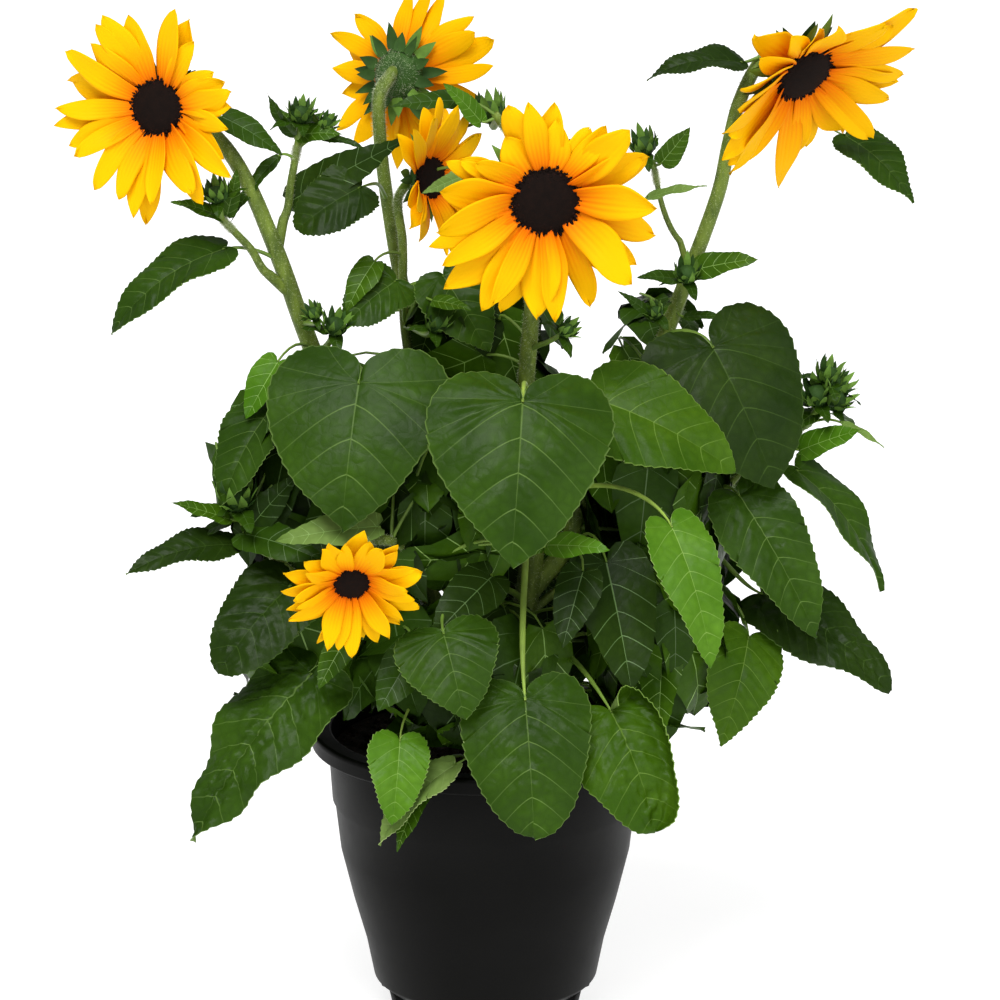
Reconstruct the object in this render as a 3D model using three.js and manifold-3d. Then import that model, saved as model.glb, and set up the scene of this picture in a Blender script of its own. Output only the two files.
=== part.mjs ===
// A potted sunflower plant: a black nursery pot, one branching main stem, six flower heads,
// its large single leaves and the masses of smaller foliage between them.
// Millimetres, +Z up, origin at the centre of the pot's flat underside, front of the plant at -Y.
import * as THREE from 'three';
import { mergeVertices } from 'three/addons/utils/BufferGeometryUtils.js';
import Module from 'manifold-3d';

const wasm = await Module();
wasm.setup();

// ---------------------------------------------------------------- driving sizes
const GAP = 0.4; // clearance left between touching pieces
const CUT_GAP = 1; // clearance that a mass keeps to whatever it is cut by

const POT_RIM_RADIUS = 104;
const POT_RIM_HEIGHT = 180;
const POT_LIP_HEIGHT = 10;
const POT_WALL = 2.6;
const POT_FOOT_RADIUS = 50;
const POT_FOOT_HEIGHT = 18;
const POT_SIDES = 32;
const SOIL_TOP = 167;

const LIMB_SIDES = 8;
const LIMB_RING_STEP = 26; // length of limb between two rings

const LEAF_HALF_THICKNESS = 1.5;
const HEAD_SEGMENTS = 16;
const PETAL_THICKNESS = 3;


// ---------------------------------------------------------------- materials
function surface(colour, roughness) {
  return new THREE.MeshStandardMaterial({ color: colour, roughness, metalness: 0 });
}

const potMaterial = surface(0x1d1d1b, 0.45);
const soilMaterial = surface(0x2a1f17, 0.95);
const stemMaterial = surface(0x7f9450, 0.7);
const petalMaterial = surface(0xffc414, 0.6);
const leafMaterial = surface(0x2f5f25, 0.6);
const massMaterial = surface(0x274f1f, 0.75);

// ---------------------------------------------------------------- small helpers
function point([x, y, z]) {
  return new THREE.Vector3(x, y, z);
}

// Keep only the positions and share the vertices, so that the mesh is closed.
function closed(geometry) {
  const bare = geometry.clone();
  bare.deleteAttribute('normal');
  bare.deleteAttribute('uv');
  const merged = mergeVertices(bare, 1e-4);
  merged.computeVertexNormals();
  return merged;
}

// Move every vertex by a function of its place.
function reshaped(geometry, place) {
  const positions = geometry.attributes.position;
  const here = new THREE.Vector3();
  for (let i = 0; i < positions.count; i += 1) {
    here.fromBufferAttribute(positions, i);
    const there = place(here);
    positions.setXYZ(i, there.x, there.y, there.z);
  }
  positions.needsUpdate = true;
  return geometry;
}

// The same mesh swollen by a distance along its vertex normals.
function grown(geometry, distance) {
  const swollen = geometry.clone();
  swollen.computeVertexNormals();
  const normals = swollen.attributes.normal;
  const positions = swollen.attributes.position;
  for (let i = 0; i < positions.count; i += 1) {
    positions.setXYZ(
      i,
      positions.getX(i) + distance * normals.getX(i),
      positions.getY(i) + distance * normals.getY(i),
      positions.getZ(i) + distance * normals.getZ(i),
    );
  }
  return swollen;
}

function solidOf(geometry) {
  const vertProperties = new Float32Array(geometry.attributes.position.array);
  const triVerts = new Uint32Array(geometry.index.array);
  return new wasm.Manifold(new wasm.Mesh({ numProp: 3, vertProperties, triVerts }));
}

function geometryOf(solid) {
  const mesh = solid.getMesh();
  const geometry = new THREE.BufferGeometry();
  geometry.setAttribute('position', new THREE.BufferAttribute(mesh.vertProperties, 3));
  geometry.setIndex(new THREE.BufferAttribute(mesh.triVerts, 1));
  return closed(geometry);
}

function largestBody(solid) {
  const bodies = solid.decompose();
  return bodies.reduce((best, body) => (body.volume() > best.volume() ? body : best));
}

function named(name, geometry, material) {
  const mesh = new THREE.Mesh(geometry, material);
  mesh.name = name;
  return mesh;
}

// ---------------------------------------------------------------- pot and soil
// Outer wall of the pot: a bellied taper with a small collar step under the lip.
const POT_WALL_PROFILE = [
  [62, POT_FOOT_HEIGHT + 1],
  [67.5, 24],
  [72.2, 48],
  [79.5, 74],
  [87, 105],
  [90.2, 133],
  [91.8, 136],
  [94, POT_RIM_HEIGHT - POT_LIP_HEIGHT],
];

function innerRadius(radius) {
  return radius - POT_WALL;
}

function pot() {
  const lipBottom = POT_RIM_HEIGHT - POT_LIP_HEIGHT;
  const profile = [
    [0, 0],
    [POT_FOOT_RADIUS, 0],
    [POT_FOOT_RADIUS + 4, POT_FOOT_HEIGHT],
    ...POT_WALL_PROFILE,
    [POT_RIM_RADIUS, lipBottom],
    [POT_RIM_RADIUS, POT_RIM_HEIGHT - 1.5],
    [POT_RIM_RADIUS - 1.5, POT_RIM_HEIGHT],
    [innerRadius(94) + 1, POT_RIM_HEIGHT],
  ];
  const inside = POT_WALL_PROFILE.filter(([, height]) => height > 40 && height !== 133);
  for (const [radius, height] of inside.reverse()) {
    profile.push([innerRadius(radius), height]);
  }
  profile.push([innerRadius(67.5), POT_FOOT_HEIGHT + 6]);
  profile.push([0, POT_FOOT_HEIGHT + 6]);
  const points = profile.map(([radius, height]) => new THREE.Vector2(radius, height));
  const geometry = new THREE.LatheGeometry(points, POT_SIDES);
  geometry.rotateX(Math.PI / 2);
  return named('pot', closed(geometry), potMaterial);
}

function soil() {
  const points = [new THREE.Vector2(0, POT_FOOT_HEIGHT + 6 + GAP)];
  points.push(new THREE.Vector2(innerRadius(67.5) - 2 * GAP, POT_FOOT_HEIGHT + 6 + GAP));
  for (const [radius, height] of POT_WALL_PROFILE) {
    if (height > 40 && height < SOIL_TOP && height !== 133) {
      points.push(new THREE.Vector2(innerRadius(radius) - 2 * GAP, height));
    }
  }
  points.push(new THREE.Vector2(innerRadius(93) - GAP, SOIL_TOP));
  points.push(new THREE.Vector2(0, SOIL_TOP));
  const geometry = new THREE.LatheGeometry(points, POT_SIDES);
  geometry.rotateX(Math.PI / 2);
  return named('soil', closed(geometry), soilMaterial);
}

// ---------------------------------------------------------------- limbs
// Each limb leaves its parent square to it at a fraction of the parent's length, passes the
// named places and ends at its tip. Radii taper evenly from the foot to the tip.
const limbs = {};

function frameAlong(curve, t) {
  const frames = curve.userFrames;
  const steps = frames.tangents.length - 1;
  const i = Math.round(t * steps);
  return { side: frames.normals[i], up: frames.binormals[i] };
}

// A closed tapering cylinder is bent along the curve.
function taperedTube(curve, footRadius, tipRadius) {
  const rings = Math.max(4, Math.round(curve.getLength() / LIMB_RING_STEP));
  curve.userFrames = curve.computeFrenetFrames(rings, false);
  const tube = new THREE.CylinderGeometry(1, 1, 1, LIMB_SIDES, rings);
  return closed(reshaped(closed(tube), (v) => {
    const t = v.y + 0.5;
    const { side, up } = frameAlong(curve, t);
    const radius = THREE.MathUtils.lerp(footRadius, tipRadius, t);
    const centre = curve.getPointAt(t);
    // the cylinder's own X, Y, Z become side, tangent and -up, which keeps its faces outward
    return centre.addScaledVector(side, v.x * radius).addScaledVector(up, -v.z * radius);
  }));
}

function limb(name, { parent, at, via, tip, footRadius, tipRadius }) {
  const stops = via.map(point);
  if (at === 1) {
    // goes straight on from the end of its parent
    const { curve } = limbs[parent];
    const onward = curve.getTangentAt(1);
    for (const distance of [16, 2 * GAP]) {
      stops.unshift(curve.getPointAt(1).addScaledVector(onward, distance));
    }
  }
  if (parent && at < 1) {
    const stem = limbs[parent];
    const from = stem.curve.getPointAt(at);
    const along = stem.curve.getTangentAt(at);
    const away = stops[0].clone().sub(from);
    away.addScaledVector(along, -away.dot(along)).normalize();
    const parentRadius = THREE.MathUtils.lerp(stem.footRadius, stem.tipRadius, at);
    const clear = 1.1 * parentRadius + GAP + 0.4;
    stops.unshift(from.clone().addScaledVector(away, clear + footRadius));
    stops.unshift(from.clone().addScaledVector(away, clear));
  }
  stops.push(...tip);
  const curve = new THREE.CatmullRomCurve3(stops, false, 'centripetal');
  limbs[name] = { curve, footRadius, tipRadius };
  return named(name, taperedTube(curve, footRadius, tipRadius), stemMaterial);
}

// ---------------------------------------------------------------- flower heads
// centre: middle of the dark disc; facing: the way the flower looks; reach: petal tip radius;
// disc: radius of the dark disc; cup: how far the petal tips come forward, as a part of reach.
const HEADS = {
  head_left: { centre: [-186, -20, 555], facing: [-0.35, -0.9, 0.1], reach: 60, disc: 16, cup: 0.28 },
  head_back: { centre: [-50, 64, 561], facing: [0.4, 0.9, -0.17], reach: 52, disc: 15, cup: 0.3 },
  head_middle: { centre: [-32, 5, 510], facing: [0.78, -0.6, 0.1], reach: 46, disc: 13, cup: 0.34 },
  head_front: { centre: [34, -85, 513], facing: [0.1, -0.97, -0.12], reach: 66, disc: 19, cup: 0.26 },
  head_right: { centre: [183, 0, 572], facing: [0.49, -0.68, -0.54], reach: 66, disc: 18.5, cup: 0.28 },
  head_low: { centre: [-74, -135, 306], facing: [0.15, -0.8, -0.5], reach: 40, disc: 11, cup: 0.28 },
};
const RECEPTACLE_DEPTH = 0.8; // depth behind the disc, in disc radii

function behindHead(name, distance) {
  const { centre, facing, disc } = HEADS[name];
  const back = point(facing).normalize().negate();
  return point(centre).addScaledVector(back, RECEPTACLE_DEPTH * disc + distance);
}

function headTip(name) {
  return [behindHead(name, 12), behindHead(name, GAP)];
}

function head(name, { centre, facing, reach, disc, cup }) {
  const lift = cup * reach;
  const profile = [
    [0, -RECEPTACLE_DEPTH * disc],
    [0.6 * disc, -0.72 * disc],
    [1.05 * disc, -0.25 * disc],
    [0.62 * reach, 0.25 * lift - PETAL_THICKNESS / 2],
    [reach, lift],
    [0.62 * reach, 0.25 * lift + PETAL_THICKNESS / 2],
    [disc, 0.12 * disc],
    [0.6 * disc, 0.3 * disc],
    [0, 0.36 * disc],
  ];
  const points = profile.map(([radius, height]) => new THREE.Vector2(radius, height));
  const geometry = new THREE.LatheGeometry(points, HEAD_SEGMENTS);
  // the rim follows longer and shorter petals
  reshaped(geometry, (v) => {
    const radius = Math.hypot(v.x, v.z);
    const angle = Math.atan2(v.z, v.x);
    const wave = 1 + 0.05 * Math.cos(8 * angle) - 0.03 * Math.sin(3 * angle);
    const stretch = radius > 0.9 * reach ? wave : 1;
    return new THREE.Vector3(v.x * stretch, v.y, v.z * stretch);
  });
  const mesh = named(name, closed(geometry), petalMaterial);
  mesh.position.copy(point(centre));
  const lathe = new THREE.Vector3(0, 1, 0);
  mesh.quaternion.setFromUnitVectors(lathe, point(facing).normalize());
  return mesh;
}

// ---------------------------------------------------------------- single large leaves
// base: where the leaf stalk meets the blade; tip: the point; width: across the widest part;
// face: the way the upper side looks; heart: how far the lobes reach back past the base, as a
// part of the length; bow: rise of the midrib between base and tip; fold: rise of the edges.
const LEAVES = {
  leaf_heart_left: {
    base: [-71, -80, 408], tip: [-80, -117, 331], width: 100,
    face: [-0.1, -0.9, 0.42], heart: 0.45, bow: 0.06, fold: -0.08,
  },
  leaf_heart_front: {
    base: [22, -112, 412], tip: [15, -152, 320], width: 102,
    face: [0.05, -0.92, 0.38], heart: 0.4, bow: 0.08, fold: -0.1,
  },
  leaf_pale_right: {
    base: [68, -62, 393], tip: [143, -72, 354], width: 64,
    face: [0.05, -0.72, 0.7], heart: 0.3, bow: 0.08, fold: 0.05,
  },
  leaf_dark_right: {
    base: [132, -22, 416], tip: [168, -44, 338], width: 94,
    face: [0.2, -0.86, 0.46], heart: 0.42, bow: 0.06, fold: -0.06,
  },
  leaf_hang_right: {
    base: [148, -32, 330], tip: [193, -54, 250], width: 50,
    face: [0.25, -0.9, 0.3], heart: 0.2, bow: 0.08, fold: 0.1,
  },
  leaf_edge_right: {
    base: [184, 0, 337], tip: [233, -20, 268], width: 46,
    face: [0.75, -0.35, 0.55], heart: 0.15, bow: 0.1, fold: 0.12,
  },
  leaf_far_right: {
    base: [164, -5, 263], tip: [239, -30, 210], width: 54,
    face: [0.3, -0.62, 0.72], heart: 0.15, bow: 0.1, fold: -0.08,
  },
  leaf_bright_right: {
    base: [106, -98, 329], tip: [128, -127, 254], width: 48,
    face: [0.25, -0.9, 0.34], heart: 0.22, bow: 0.12, fold: 0.06,
  },
  leaf_low_right: {
    base: [155, -30, 243], tip: [137, -60, 186], width: 46,
    face: [0.3, -0.9, 0.3], heart: 0.2, bow: 0.08, fold: 0.06,
  },
  leaf_pot_front: {
    base: [23, -128, 236], tip: [28, -154, 162], width: 72,
    face: [0.05, -0.92, 0.38], heart: 0.35, bow: 0.1, fold: -0.08,
  },
  leaf_pot_right: {
    base: [72, -112, 224], tip: [97, -137, 160], width: 56,
    face: [0.25, -0.9, 0.35], heart: 0.25, bow: 0.12, fold: -0.12,
  },
  leaf_pot_left: {
    base: [-48, -116, 208], tip: [-52, -137, 164], width: 34,
    face: [0.1, -0.95, 0.25], heart: 0.2, bow: 0.08, fold: 0.1,
  },
  leaf_folded_left: {
    base: [-17, -108, 191], tip: [-60, -126, 148], width: 26,
    face: [-0.55, -0.5, 0.6], heart: 0.05, bow: 0.1, fold: 0.2,
  },
  leaf_far_left: {
    base: [-100, -82, 237], tip: [-168, -112, 146], width: 62,
    face: [-0.45, -0.78, 0.45], heart: 0.2, bow: 0.08, fold: -0.08,
  },
  leaf_left_dark: {
    base: [-112, -73, 287], tip: [-152, -98, 242], width: 52,
    face: [-0.3, -0.85, 0.42], heart: 0.3, bow: 0.08, fold: -0.05,
  },
  leaf_left_point: {
    base: [-144, -62, 309], tip: [-205, -82, 296], width: 26,
    face: [-0.1, -0.5, 0.86], heart: 0.1, bow: 0.1, fold: 0.1,
  },
  leaf_left_mid: {
    base: [-124, -46, 384], tip: [-150, -72, 334], width: 42,
    face: [-0.5, -0.75, 0.4], heart: 0.2, bow: 0.08, fold: 0.06,
  },
  leaf_side_left: {
    base: [-150, -22, 474], tip: [-214, -42, 428], width: 32,
    face: [-0.35, -0.55, 0.75], heart: 0.1, bow: 0.12, fold: 0.08,
  },
  leaf_round_left: {
    base: [-72, -14, 508], tip: [-108, -24, 485], width: 38,
    face: [-0.2, -0.85, 0.5], heart: 0.25, bow: 0.08, fold: 0.05,
  },
  leaf_behind_front: {
    base: [-24, -12, 456], tip: [2, -28, 414], width: 44,
    face: [0.2, -0.9, 0.35], heart: 0.25, bow: 0.06, fold: 0.05,
  },
  leaf_round_middle: {
    base: [-52, -8, 452], tip: [-80, -22, 430], width: 36,
    face: [-0.2, -0.85, 0.5], heart: 0.25, bow: 0.08, fold: 0.05,
  },
  leaf_top_right: {
    base: [148, 10, 577], tip: [93, 0, 568], width: 18,
    face: [0, -0.45, 0.9], heart: 0.05, bow: 0.12, fold: 0.1,
  },
  leaf_under_head: {
    base: [213, 52, 527], tip: [251, 32, 490], width: 26,
    face: [0.4, -0.6, 0.65], heart: 0.1, bow: 0.1, fold: 0.08,
  },
  leaf_centre_low: {
    base: [-23, -122, 273], tip: [-11, -147, 230], width: 58,
    face: [0.05, -0.9, 0.42], heart: 0.3, bow: 0.1, fold: -0.06,
  },
};

// A flattened sphere becomes the blade: its axis is the midrib, its equator the leaf's edge.
// extra thickens and widens it all round, for the room that a mass leaves it.
function leaf(name, { base, tip, width, face, heart, bow, fold }, extra = 0) {
  const along = point(tip).sub(point(base));
  const length = along.length();
  along.normalize();
  const up = point(face);
  up.addScaledVector(along, -up.dot(along)).normalize();
  const side = new THREE.Vector3().crossVectors(along, up);
  const ball = closed(new THREE.SphereGeometry(1, 8, 6));
  reshaped(ball, (v) => {
    const t = Math.acos(THREE.MathUtils.clamp(v.y, -1, 1)) / Math.PI;
    const ringRadius = Math.max(Math.hypot(v.x, v.z), 1e-9);
    const across = v.x / ringRadius;
    const through = v.z / ringRadius;
    const onAxis = ringRadius < 1e-6;
    const spread = onAxis ? 0 : Math.sin(Math.PI * t ** 0.7);
    const halfWidth = (0.5 * width + 2 * extra) * spread;
    const backwards = onAxis ? 0 : 1.5 * heart * Math.abs(across) * (1 - t) ** 2;
    const ends = 4 * extra * (t - 0.5);
    const arch = 4 * bow * (t * (1 - t) * length + (1 - 2 * t) * ends);
    const rise = arch + fold * Math.abs(across) * halfWidth;
    const thick = onAxis ? 0 : (LEAF_HALF_THICKNESS * Math.sqrt(spread) + extra) * through;
    return new THREE.Vector3(across * halfWidth, (t - backwards) * length + ends, rise - thick);
  });
  const mesh = named(name, closed(ball), leafMaterial);
  mesh.position.copy(point(base));
  mesh.quaternion.setFromRotationMatrix(new THREE.Matrix4().makeBasis(side, along, up));
  return mesh;
}

// ---------------------------------------------------------------- masses of foliage
// centre and half sizes of each uneven clump; detail: how finely its surface is divided.
const MASSES = {
  mass_low_front: { centre: [-14, -62, 232], half: [64, 36, 36], detail: 1 },
  mass_low_left: { centre: [-104, -10, 240], half: [44, 52, 44], detail: 1 },
  mass_low_right: { centre: [104, -20, 240], half: [46, 50, 44], detail: 1 },
  mass_mid_left: { centre: [-98, -18, 340], half: [44, 44, 52], detail: 1 },
  mass_mid_centre: { centre: [-24, -52, 330], half: [46, 40, 50], detail: 1 },
  mass_mid_right: { centre: [96, -4, 335], half: [46, 46, 44], detail: 1 },
  mass_crown_middle: { centre: [-8, 4, 420], half: [48, 26, 28], detail: 1 },
  mass_crown_right: { centre: [108, 42, 400], half: [46, 30, 30], detail: 1 },
  mass_back_left: { centre: [-88, 84, 290], half: [60, 56, 76], detail: 2 },
  mass_back_centre: { centre: [0, 104, 330], half: [48, 48, 70], detail: 2 },
  mass_back_right: { centre: [90, 88, 288], half: [60, 56, 74], detail: 2 },
  mass_bud_left: { centre: [-160, -26, 506], half: [17, 15, 16], detail: 1 },
  mass_bud_upper: { centre: [-104, 10, 540], half: [24, 16, 18], detail: 1 },
  mass_bud_right: { centre: [205, 30, 372], half: [26, 20, 24], detail: 1 },
  mass_bud_low: { centre: [-148, -58, 340], half: [24, 18, 18], detail: 1 },
};
const LUMP = 0.14; // unevenness of a mass, as a part of its half size

function lumpyBall({ centre, half, detail }, seed) {
  const ball = closed(new THREE.IcosahedronGeometry(1, detail));
  reshaped(ball, (v) => {
    const waves = Math.sin(3.1 * v.x + seed) + Math.sin(3.7 * v.y + 2.3 * seed)
      + Math.sin(4.3 * v.z + 1.7 * seed + v.x * v.y);
    const stretch = 1 + LUMP * waves / 2;
    return new THREE.Vector3(
      centre[0] + half[0] * v.x * stretch,
      centre[1] + half[1] * v.y * stretch,
      centre[2] + half[2] * v.z * stretch,
    );
  });
  return closed(ball);
}

// A mass is cut round everything that is already there, and its largest body is kept.
function mass(name, spec, seed, cutters) {
  let solid = solidOf(lumpyBall(spec, seed));
  for (const cutter of cutters) {
    solid = solid.subtract(cutter);
  }
  return named(name, geometryOf(largestBody(solid)), massMaterial);
}

// ---------------------------------------------------------------- the plant
const plant = new THREE.Group();
plant.add(pot(), soil());

const LIMBS = {
  main_stem: {
    via: [[14, 2, SOIL_TOP + 2 * GAP], [14, 2, 182], [19, 0, 225], [28, -5, 290]],
    tip: [point([26, -8, 345])], footRadius: 10, tipRadius: 6.6,
  },
  stem_front: {
    parent: 'main_stem', at: 1, footRadius: 6, tipRadius: 4.2,
    via: [[24, -24, 394], [27, -44, 440]],
    tip: headTip('head_front'),
  },
  stem_left: {
    parent: 'main_stem', at: 0.22, footRadius: 7.6, tipRadius: 4.2,
    via: [[-40, 6, 270], [-66, 4, 319], [-104, 0, 418], [-124, -8, 479]],
    tip: [point([-147, -6, 527]), ...headTip('head_left')],
  },
  stem_back: {
    parent: 'main_stem', at: 0.4, footRadius: 5.4, tipRadius: 4,
    via: [[-14, 30, 300], [-40, 36, 400], [-54, 38, 467], [-62, 38, 540]],
    tip: headTip('head_back'),
  },
  stem_middle: {
    parent: 'stem_back', at: 0.3, footRadius: 3.2, tipRadius: 2.8,
    via: [[-38, 12, 370], [-47, 12, 420], [-48, 14, 470]],
    tip: headTip('head_middle'),
  },
  stem_right: {
    parent: 'main_stem', at: 0.6, footRadius: 6, tipRadius: 4,
    via: [[66, 2, 346], [92, 6, 385], [118, 10, 450], [136, 10, 502], [148, 14, 555]],
    tip: headTip('head_right'),
  },
  stem_low: {
    parent: 'main_stem', at: 0.36, footRadius: 3.6, tipRadius: 3,
    via: [[-30, -60, 290], [-58, -98, 322]],
    tip: headTip('head_low'),
  },
  branch_bud_left: {
    parent: 'stem_left', at: 0.68, footRadius: 3.6, tipRadius: 2.6,
    via: [[-133, -17, 470]], tip: [point([-151, -25, 492])],
  },
  branch_bud_upper: {
    parent: 'stem_left', at: 0.745, footRadius: 3.6, tipRadius: 2.8,
    via: [[-113, 0, 502]], tip: [point([-108, 5, 530])],
  },
  branch_bud_right: {
    parent: 'main_stem', at: 0.52, footRadius: 3.4, tipRadius: 2.6,
    via: [[90, 14, 285], [132, 20, 305]], tip: [point([160, 26, 340]), point([190, 30, 356])],
  },
  branch_bud_node: {
    parent: 'stem_right', at: 0.6, footRadius: 2.4, tipRadius: 2,
    via: [[104, 8, 490]], tip: [point([98, 6, 516])],
  },
  branch_bud_hairy: {
    parent: 'stem_front', at: 0.12, footRadius: 4, tipRadius: 3.4,
    via: [[24, 10, 400], [27, 22, 470]], tip: [point([23, 24, 518]), point([8, 20, 542])],
  },
  branch_bud_low: {
    parent: 'stem_left', at: 0.1, footRadius: 3.2, tipRadius: 2.4,
    via: [[-70, -40, 262], [-112, -54, 290]], tip: [point([-138, -60, 320])],
  },
};

for (const [name, spec] of Object.entries(LIMBS)) {
  plant.add(limb(name, spec));
}
for (const [name, spec] of Object.entries(HEADS)) {
  plant.add(head(name, spec));
}

// everything so far, with room round it, cuts the masses
const cutters = plant.children.map((mesh) => {
  mesh.updateMatrixWorld(true);
  const placed = mesh.geometry.clone().applyMatrix4(mesh.matrixWorld);
  return solidOf(grown(placed, CUT_GAP));
});
for (const [name, spec] of Object.entries(LEAVES)) {
  plant.add(leaf(name, spec));
  const roomy = leaf(name, spec, CUT_GAP);
  roomy.updateMatrixWorld(true);
  cutters.push(solidOf(roomy.geometry.applyMatrix4(roomy.matrixWorld)));
}
Object.entries(MASSES).forEach(([name, spec], index) => {
  plant.add(mass(name, spec, index + 1, cutters));
  cutters.push(solidOf(grown(lumpyBall(spec, index + 1), CUT_GAP)));
});

export default plant;
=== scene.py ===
"""A dwarf branching sunflower in its pot: stems, flower heads, buds and leaves, grown on the
limbs, heads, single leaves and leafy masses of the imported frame."""
import math

import bmesh
import bpy
import numpy as np
from mathutils import Matrix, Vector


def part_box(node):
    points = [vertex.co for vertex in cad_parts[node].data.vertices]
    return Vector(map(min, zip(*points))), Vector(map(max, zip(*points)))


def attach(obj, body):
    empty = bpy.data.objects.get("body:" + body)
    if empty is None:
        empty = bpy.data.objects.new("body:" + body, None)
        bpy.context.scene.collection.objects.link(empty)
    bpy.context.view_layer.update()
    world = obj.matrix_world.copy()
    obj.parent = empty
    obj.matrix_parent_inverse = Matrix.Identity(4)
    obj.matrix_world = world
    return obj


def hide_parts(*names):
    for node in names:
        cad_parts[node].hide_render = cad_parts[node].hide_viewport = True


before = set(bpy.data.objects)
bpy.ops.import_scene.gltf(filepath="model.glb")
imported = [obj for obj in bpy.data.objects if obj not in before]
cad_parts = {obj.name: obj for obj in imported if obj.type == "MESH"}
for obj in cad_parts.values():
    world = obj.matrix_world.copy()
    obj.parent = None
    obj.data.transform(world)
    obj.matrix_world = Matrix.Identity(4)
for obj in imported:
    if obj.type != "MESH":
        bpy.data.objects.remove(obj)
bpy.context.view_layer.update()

MM = 0.001
# how much thinner than its frame solid the skin of a branch or a stem is
BRANCH_SLIM = 0.76
STEM_SLIM = 0.92
GOLDEN_TURN = math.pi * (3 - math.sqrt(5))
UP = np.array([0.0, 0.0, 1.0])
FRONT = np.array([0.0, -1.0, 0.0])

# spokes of the frame's solids: how many edges meet at their poles
LIMB_SPOKES = 8
LEAF_SPOKES = 8
HEAD_SPOKES = 16
POT_SPOKES = 32

HEADS = ("head_left", "head_back", "head_middle", "head_front", "head_right", "head_low")
LIMBS = (
    "main_stem", "stem_front", "stem_left", "stem_back", "stem_middle", "stem_right",
    "stem_low", "branch_bud_left", "branch_bud_upper", "branch_bud_right",
    "branch_bud_node", "branch_bud_hairy", "branch_bud_low",
)
# the limb that each branch leaves, so that its foot can start inside it
PARENTS = {
    "stem_front": "main_stem", "stem_left": "main_stem", "stem_back": "main_stem",
    "stem_middle": "stem_back", "stem_right": "main_stem", "stem_low": "main_stem",
    "branch_bud_left": "stem_left", "branch_bud_upper": "stem_left",
    "branch_bud_right": "main_stem", "branch_bud_node": "stem_right",
    "branch_bud_hairy": "stem_front", "branch_bud_low": "stem_left",
}


# ---------------------------------------------------------------- small helpers
def unit(vector):
    vector = np.asarray(vector, float)
    return vector / max(np.linalg.norm(vector), 1e-12)


def across(vector, axis):
    """The part of a vector that is square to an axis, at unit length."""
    return unit(vector - axis * np.dot(vector, axis))


def spline(stops, samples):
    """Points on the smooth curve through a few stops."""
    stops = np.asarray(stops, float)
    ends = np.vstack([2 * stops[0] - stops[1], stops, 2 * stops[-1] - stops[-2]])
    spans = len(stops) - 1
    place = np.linspace(0, spans, samples)
    span = np.minimum(place.astype(int), spans - 1)
    t = (place - span)[:, None]
    a, b, c, d = ends[span], ends[span + 1], ends[span + 2], ends[span + 3]
    cubic = 3 * b - a - 3 * c + d
    square = 2 * a - 5 * b + 4 * c - d
    return 0.5 * (2 * b + (c - a) * t + square * t ** 2 + cubic * t ** 3)


def frames_along(line):
    """Two directions square to a line at each of its points, turning as little as they can."""
    tangents = np.gradient(line, axis=0)
    tangents /= np.linalg.norm(tangents, axis=1)[:, None]
    helper = UP if abs(tangents[0][2]) < 0.8 else FRONT
    side = across(helper, tangents[0])
    sides = []
    for tangent in tangents:
        side = across(side, tangent)
        sides.append(side)
    sides = np.array(sides)
    return sides, np.cross(tangents, sides)


def circle_angles(count):
    return np.arange(count) * 2 * math.pi / count


def deselect():
    bpy.ops.object.select_all(action="DESELECT")


def activate(piece):
    deselect()
    piece.select_set(True)
    bpy.context.view_layer.objects.active = piece


def apply_modifier(piece, kind, **settings):
    activate(piece)
    modifier = piece.modifiers.new(kind.title(), kind)
    for name, value in settings.items():
        setattr(modifier, name, value)
    bpy.ops.object.modifier_apply(modifier=modifier.name)


def finished(piece, name, slot, *replaced):
    """Name the piece, let it ride with the plant and stand for its frame nodes."""
    piece.name = name
    piece.data.name = name
    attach(piece, "root")
    if replaced:
        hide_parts(*replaced)
    return piece


def mesh_piece(name, points, faces, materials, face_materials=None, values=None):
    """One joined mesh from arrays of points and of four-cornered or three-cornered faces."""
    mesh = bpy.data.meshes.new(name)
    mesh.from_pydata(points, [], faces)
    for material in materials:
        mesh.materials.append(material)
    if face_materials is not None:
        mesh.polygons.foreach_set("material_index", np.asarray(face_materials, np.int32))
    for label, amounts in (values or {}).items():
        layer = mesh.attributes.new(label, "FLOAT", "POINT")
        layer.data.foreach_set("value", np.asarray(amounts, np.float32))
    mesh.polygons.foreach_set("use_smooth", [True] * len(mesh.polygons))
    mesh.update()
    piece = bpy.data.objects.new(name, mesh)
    bpy.context.scene.collection.objects.link(piece)
    return piece


class Batch:
    """Many small shapes of one kind, gathered to be joined into one mesh."""

    def __init__(self):
        self.points = []
        self.faces = []
        self.tones = []
        self.values = []
        self.count = 0

    def add(self, points, faces, tones, values=None):
        self.points.append(points)
        self.faces.append(faces + self.count)
        self.tones.append(np.broadcast_to(tones, len(faces)))
        self.values.append(np.zeros(len(points)) if values is None else values)
        self.count += len(points)

    def piece(self, name, materials, label=None):
        values = {label: np.concatenate(self.values)} if label else None
        return mesh_piece(
            name,
            np.concatenate(self.points),
            np.concatenate(self.faces).tolist(),
            materials,
            np.concatenate(self.tones),
            values,
        )


def grid_faces(rows, columns):
    """Four-cornered faces between the points of a grid that is stored row by row."""
    row, column = np.meshgrid(np.arange(rows - 1), np.arange(columns - 1), indexing="ij")
    corner = (row * columns + column).ravel()
    return np.stack([corner, corner + 1, corner + columns + 1, corner + columns], axis=1)


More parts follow.
